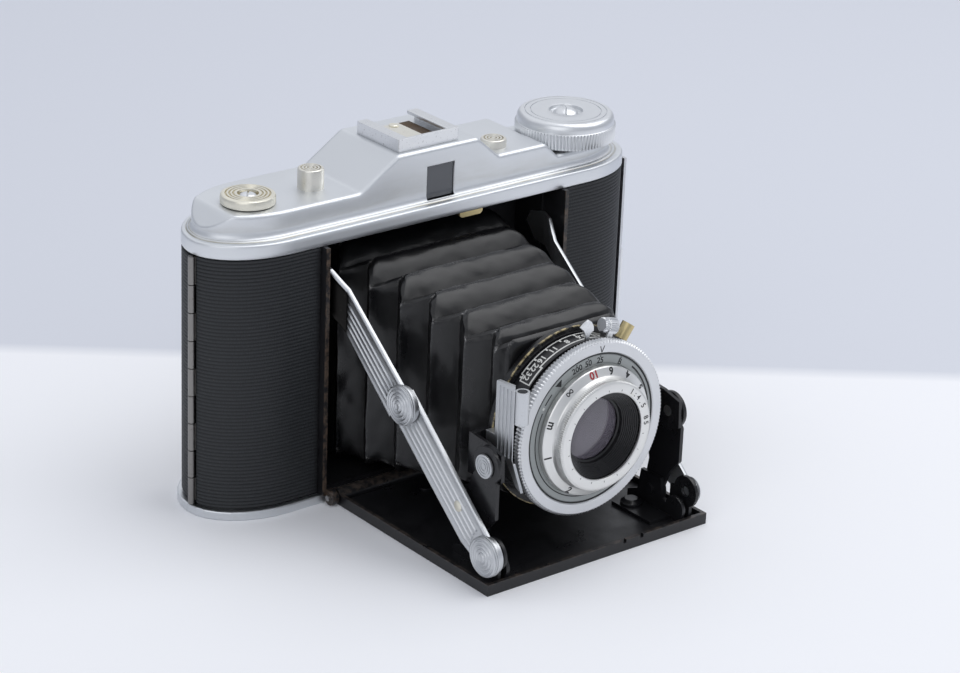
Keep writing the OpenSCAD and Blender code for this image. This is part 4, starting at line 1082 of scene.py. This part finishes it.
def focus_ring():
    """The focusing ring with its scale in metres, and the lens's ratio and focal length as plain numbers."""
    h0, h1 = FOCUS_BACK, LENS_FRONT
    cone = [(18, h0 + 1.5), (17.75, h0 + 1.8)]
    profile = [(12.4, h0), (17.8, h0), (18, h0 + 0.2), *cone, (16.1, h0 + 2.5), (15.75, h0 + 2.75),
               (15.5, h0 + 3.2), (15.3, h0 + 3.9), (15.28, h1 - 1.2), (15.3, h1 - 1.05), (15.3, h1 - 0.45),
               (14.9, h1 - 0.12), (14.5, h1), (12.3, h1), (12.05, h1 - 0.2), (12.05, h1 - 0.7), (12.4, h1 - 1)]
    lathe("focus_ring_turned", profile, "focus", FOCUS, ["focus_ring"], 640,
          (160, 0.2, 14.85, h1 - 1.6), 25)
    black, red = Marks(), Marks()
    slope = math.atan2(0.7, 1.65)
    for words, clock, ink in (("∞", -37, black), ("10", -7.6, red), ("6", 12.2, black), ("4", 34, black),
                              ("3", 57, black), ("2", 211.5, black), ("1", 258.5, black), ("m", 289.5, black)):
        out, across = spokes(clock)
        up = -(out * math.cos(slope)) + FRONT * math.sin(slope)
        spot = lens_point(16.95, h0 + 2.15, clock)
        if words == "∞":
            figure_eight(ink, spot, -across, up)
        else:
            ink.text(words, 2.15, spot, -across, up, bold=0.035)
    for words, clock in (("1:4.5", 50), ("85", 84)):
        for k, sign in enumerate(words):
            turn = clock + (k - (len(words) - 1) / 2) * 7
            out, across = spokes(turn)
            black.text(sign, 1.6, lens_point(13.45, h1, turn), across, out, bold=0.012)
    face = on_face(h1)
    for clock in range(100, 400, 20):
        black.patch(face, (clock - 0.3, clock + 0.3), (12.6, 13.1), 2)
    black.make("focus_marks", "focus", INK, "ring_metal")
    red.make("focus_mark_red", "focus", RED, "ring_metal")


def figure_eight(marks, spot, right, up):
    """The sign for infinity: a lying eight, drawn as a ribbon."""
    steps, width = 32, 0.13
    loop = []
    for i in range(steps):
        t = math.tau * i / steps
        loop.append(Vector((1.0 * math.sin(t), 0.48 * math.sin(2 * t))))
    out = right.cross(up)
    points = []
    for i, p in enumerate(loop):
        along = (loop[(i + 1) % steps] - loop[i - 1]).normalized()
        side = Vector((-along.y, along.x)) * width
        for q, lift in ((p - side, -0.05), (p + side, -0.05), (p + side, 0.04), (p - side, 0.04)):
            points.append(spot + right * q.x + up * q.y + out * lift)
    marks.add(points, quads(steps, 4, close_rows=True, close_columns=True))


def aperture_drum():
    """The black drum behind the speed ring, with the stops and their white frame."""
    r = DRUM_R
    profile = [(19.7, DRUM_BACK), (r - 0.1, DRUM_BACK), (r, DRUM_BACK + 0.15), (r, DRUM_FRONT - 0.2),
               (r - 0.2, DRUM_FRONT), (23.2, DRUM_FRONT), (23.2, DRUM_BACK + 1), (19.7, DRUM_BACK + 1)]
    lathe("aperture_drum", profile, "standard", DRUM, ["aperture_scale"])
    marks, drum = Marks(), on_drum(r)
    near, far = DRUM_FRONT - 0.55, DRUM_BACK + 0.6
    for clocks, depths, steps in (((-46, 24), (far - 0.18, far + 0.18), 50),
                                  ((-36, 24), (near - 1.0, near - 0.55), 50),
                                  ((-37, -35.8), (near - 1.0, near + 0.2), 2),
                                  ((-50, -36), (near - 0.3, near + 0.2), 16),
                                  ((-50.6, -49.8), (far + 0.6, near + 0.2), 2),
                                  ((-50, -46), (far + 0.6, far + 0.95), 6),
                                  ((-46.4, -45.7), (far - 0.13, far + 0.95), 2)):
        marks.patch(drum, clocks, depths, steps)
    for words, clock in (("4.5", 15), ("5.6", 2.5), ("8", -9.3), ("11", -20.8), ("16", -31),
                         ("22", -38.5), ("32", -45.5)):
        out, across = spokes(clock)
        marks.text(words, 1.9, lens_point(r, far + 2.0, clock), -across, FRONT, bold=0.03)
        marks.patch(drum, (clock - 3.2, clock - 1.9), (far, far + 1.0), 3)
    marks.make("aperture_marks", "standard", WHITE, "black_enamel")


def lens_mount():
    """The lens cell: a black funnel of fine steps in front of the lens."""
    r, h = 11.95, LENS_FRONT - 1.1
    profile = [(9.6, 74), (9.6, FOCUS_BACK - 0.1), (12.3, FOCUS_BACK - 0.1), (12.3, h), (r, h)]
    for k in range(9):
        profile += [(r - 0.05, h - 0.18), (r - 0.3, h - 0.3)]
        r, h = r - 0.3, h - 0.4
    profile += [(r - 0.1, h - 0.9), (8.6, h - 1.1), (8.6, h - 1.4), (9, h - 1.4), (9, 74)]
    lathe("lens_cell_turned", profile, "focus", CELL, ["lens_cell"], 192)


# ---- CAD nodes that stay: rounded edges and materials ----

def soften(names, mat, width=0.12, angle=32):
    for name in names.split():
        made = nodes[name]
        made.data.materials.clear()
        made.data.materials.append(mat)
        weld = made.modifiers.new("weld", "WELD")
        weld.merge_threshold = 0.002 * MM
        if width:
            edge = made.modifiers.new("edge", "BEVEL")
            edge.width = width * MM
            edge.segments = 2
            edge.limit_method = "ANGLE"
            edge.angle_limit = math.radians(angle)
            edge.use_clamp_overlap = True
        tidy = made.modifiers.new("normals", "WEIGHTED_NORMAL")
        tidy.keep_sharp = True


def finish_frame():
    soften("body_shell", CASE, 0.1)
    soften("film_gate lower_spool_pins takeup_spool finder_tube shutter_case", INSIDE, 0.05)
    soften("shutter_blades", BLADE, 0.05)
    soften("base_plate", BASE, 0.55)
    soften("tripod_bush winding_shaft bed_hinge_pin back_hinge_pin pressure_plate", STEEL, 0.1)
    soften("accessory_shoe", BRIGHT, 0.28)
    soften("latch_hook sync_post", BRASS, 0.12)
    soften("back_cover", BACK, 0.1)
    soften("back_latch", KNOB, 0.08)
    soften("hinge_body_leaf hinge_back_leaf", LEAF, 0.12)
    soften("bed_plate", BED, 0.22)
    soften("bed_brackets link_left link_right", BLACK, 0.12)
    soften("bed_rivets", BLACK, 0.1)
    soften("standard_rivets", STRUT, 0.08)
    soften("standard_plate", DISC, 0.12)
    soften("release_cover cable_socket", STRUT, 0.1)
    soften("front_lens rear_lens", LENS, 0)
    soften("finder_front_glass finder_rear_glass", PANE, 0.1)
    soften("red_window", RUBY, 0.1)
    soften("bed_leather", CLOTH, 0.1)


# ---- camera, floor and light ----

EYE = (-0.48831, -0.62935, 0.36993)
EYE_RIGHT = Vector((0.78374505, -0.62003362, 0.03608321))
EYE_UP = Vector((0.21472155, 0.32501458, 0.92101041))
AIM = Vector((0, -0.03, 0.04))
# Each lamp's name, place, size and power
LAMPS = (("key", (0.5, -0.2, 1.0), 1.0, 5.6), ("fill", (-0.9, -0.6, 0.7), 1.0, 2.6),
         ("top", (-0.1, 0.6, 1.2), 1.5, 2.6), ("back", (1.0, 1.2, 0.62), 1.3, 1.5))


def stage():
    eye = bpy.data.cameras.new("view")
    eye.sensor_width = 36
    eye.lens = 116.12
    camera = bpy.data.objects.new("view", eye)
    turn = Matrix((EYE_RIGHT, EYE_UP, EYE_RIGHT.cross(EYE_UP))).transposed().to_4x4()
    camera.matrix_world = Matrix.Translation(EYE) @ turn
    scene.collection.objects.link(camera)
    scene.camera = camera
    scene.view_settings.view_transform = "Standard"

    half = 3.0
    mesh = bpy.data.meshes.new("floor")
    corners = [(-half, -half, 0), (half, -half, 0), (half, half, 0), (-half, half, 0)]
    mesh.from_pydata(corners, [], [(0, 1, 2, 3)])
    floor = bpy.data.objects.new("floor", mesh)
    scene.collection.objects.link(floor)
    mat, tree, shader = material("studio_paper")
    away = (0.615, 0.789, 0)
    past = node(tree, "ShaderNodeVectorMath", {0: place_of(tree), 1: away}, operation="DOT_PRODUCT")
    beyond_table = ranged(tree, past.outputs["Value"], 0.058, 0.066)
    paper = mixed(tree, beyond_table, (0.93, 0.935, 0.955), (0.69, 0.71, 0.765))
    feed(tree, shader, {"Base Color": paper, "Roughness": 0.9, "Specular IOR Level": 0.1})
    mesh.materials.append(mat)

    world = bpy.data.worlds.new("studio")
    world.use_nodes = True
    scene.world = world
    sky = world.node_tree.nodes["Background"]
    sky.inputs["Color"].default_value = (0.86, 0.9, 1.0, 1)
    sky.inputs["Strength"].default_value = 0.52
    for name, spot, size, power in LAMPS:
        lamp = bpy.data.lights.new(name, "AREA")
        lamp.size, lamp.energy = size, power
        holder = bpy.data.objects.new(name, lamp)
        holder.location = spot
        holder.rotation_euler = (AIM - Vector(spot)).to_track_quat("-Z", "Y").to_euler()
        scene.collection.objects.link(holder)


stage()
finish_frame()
cover()
coverings()
bellows()
winding_knob()
buttons()
shoe_parts()
struts()
levers()
speed_dial()
focus_ring()
aperture_drum()
lens_mount()
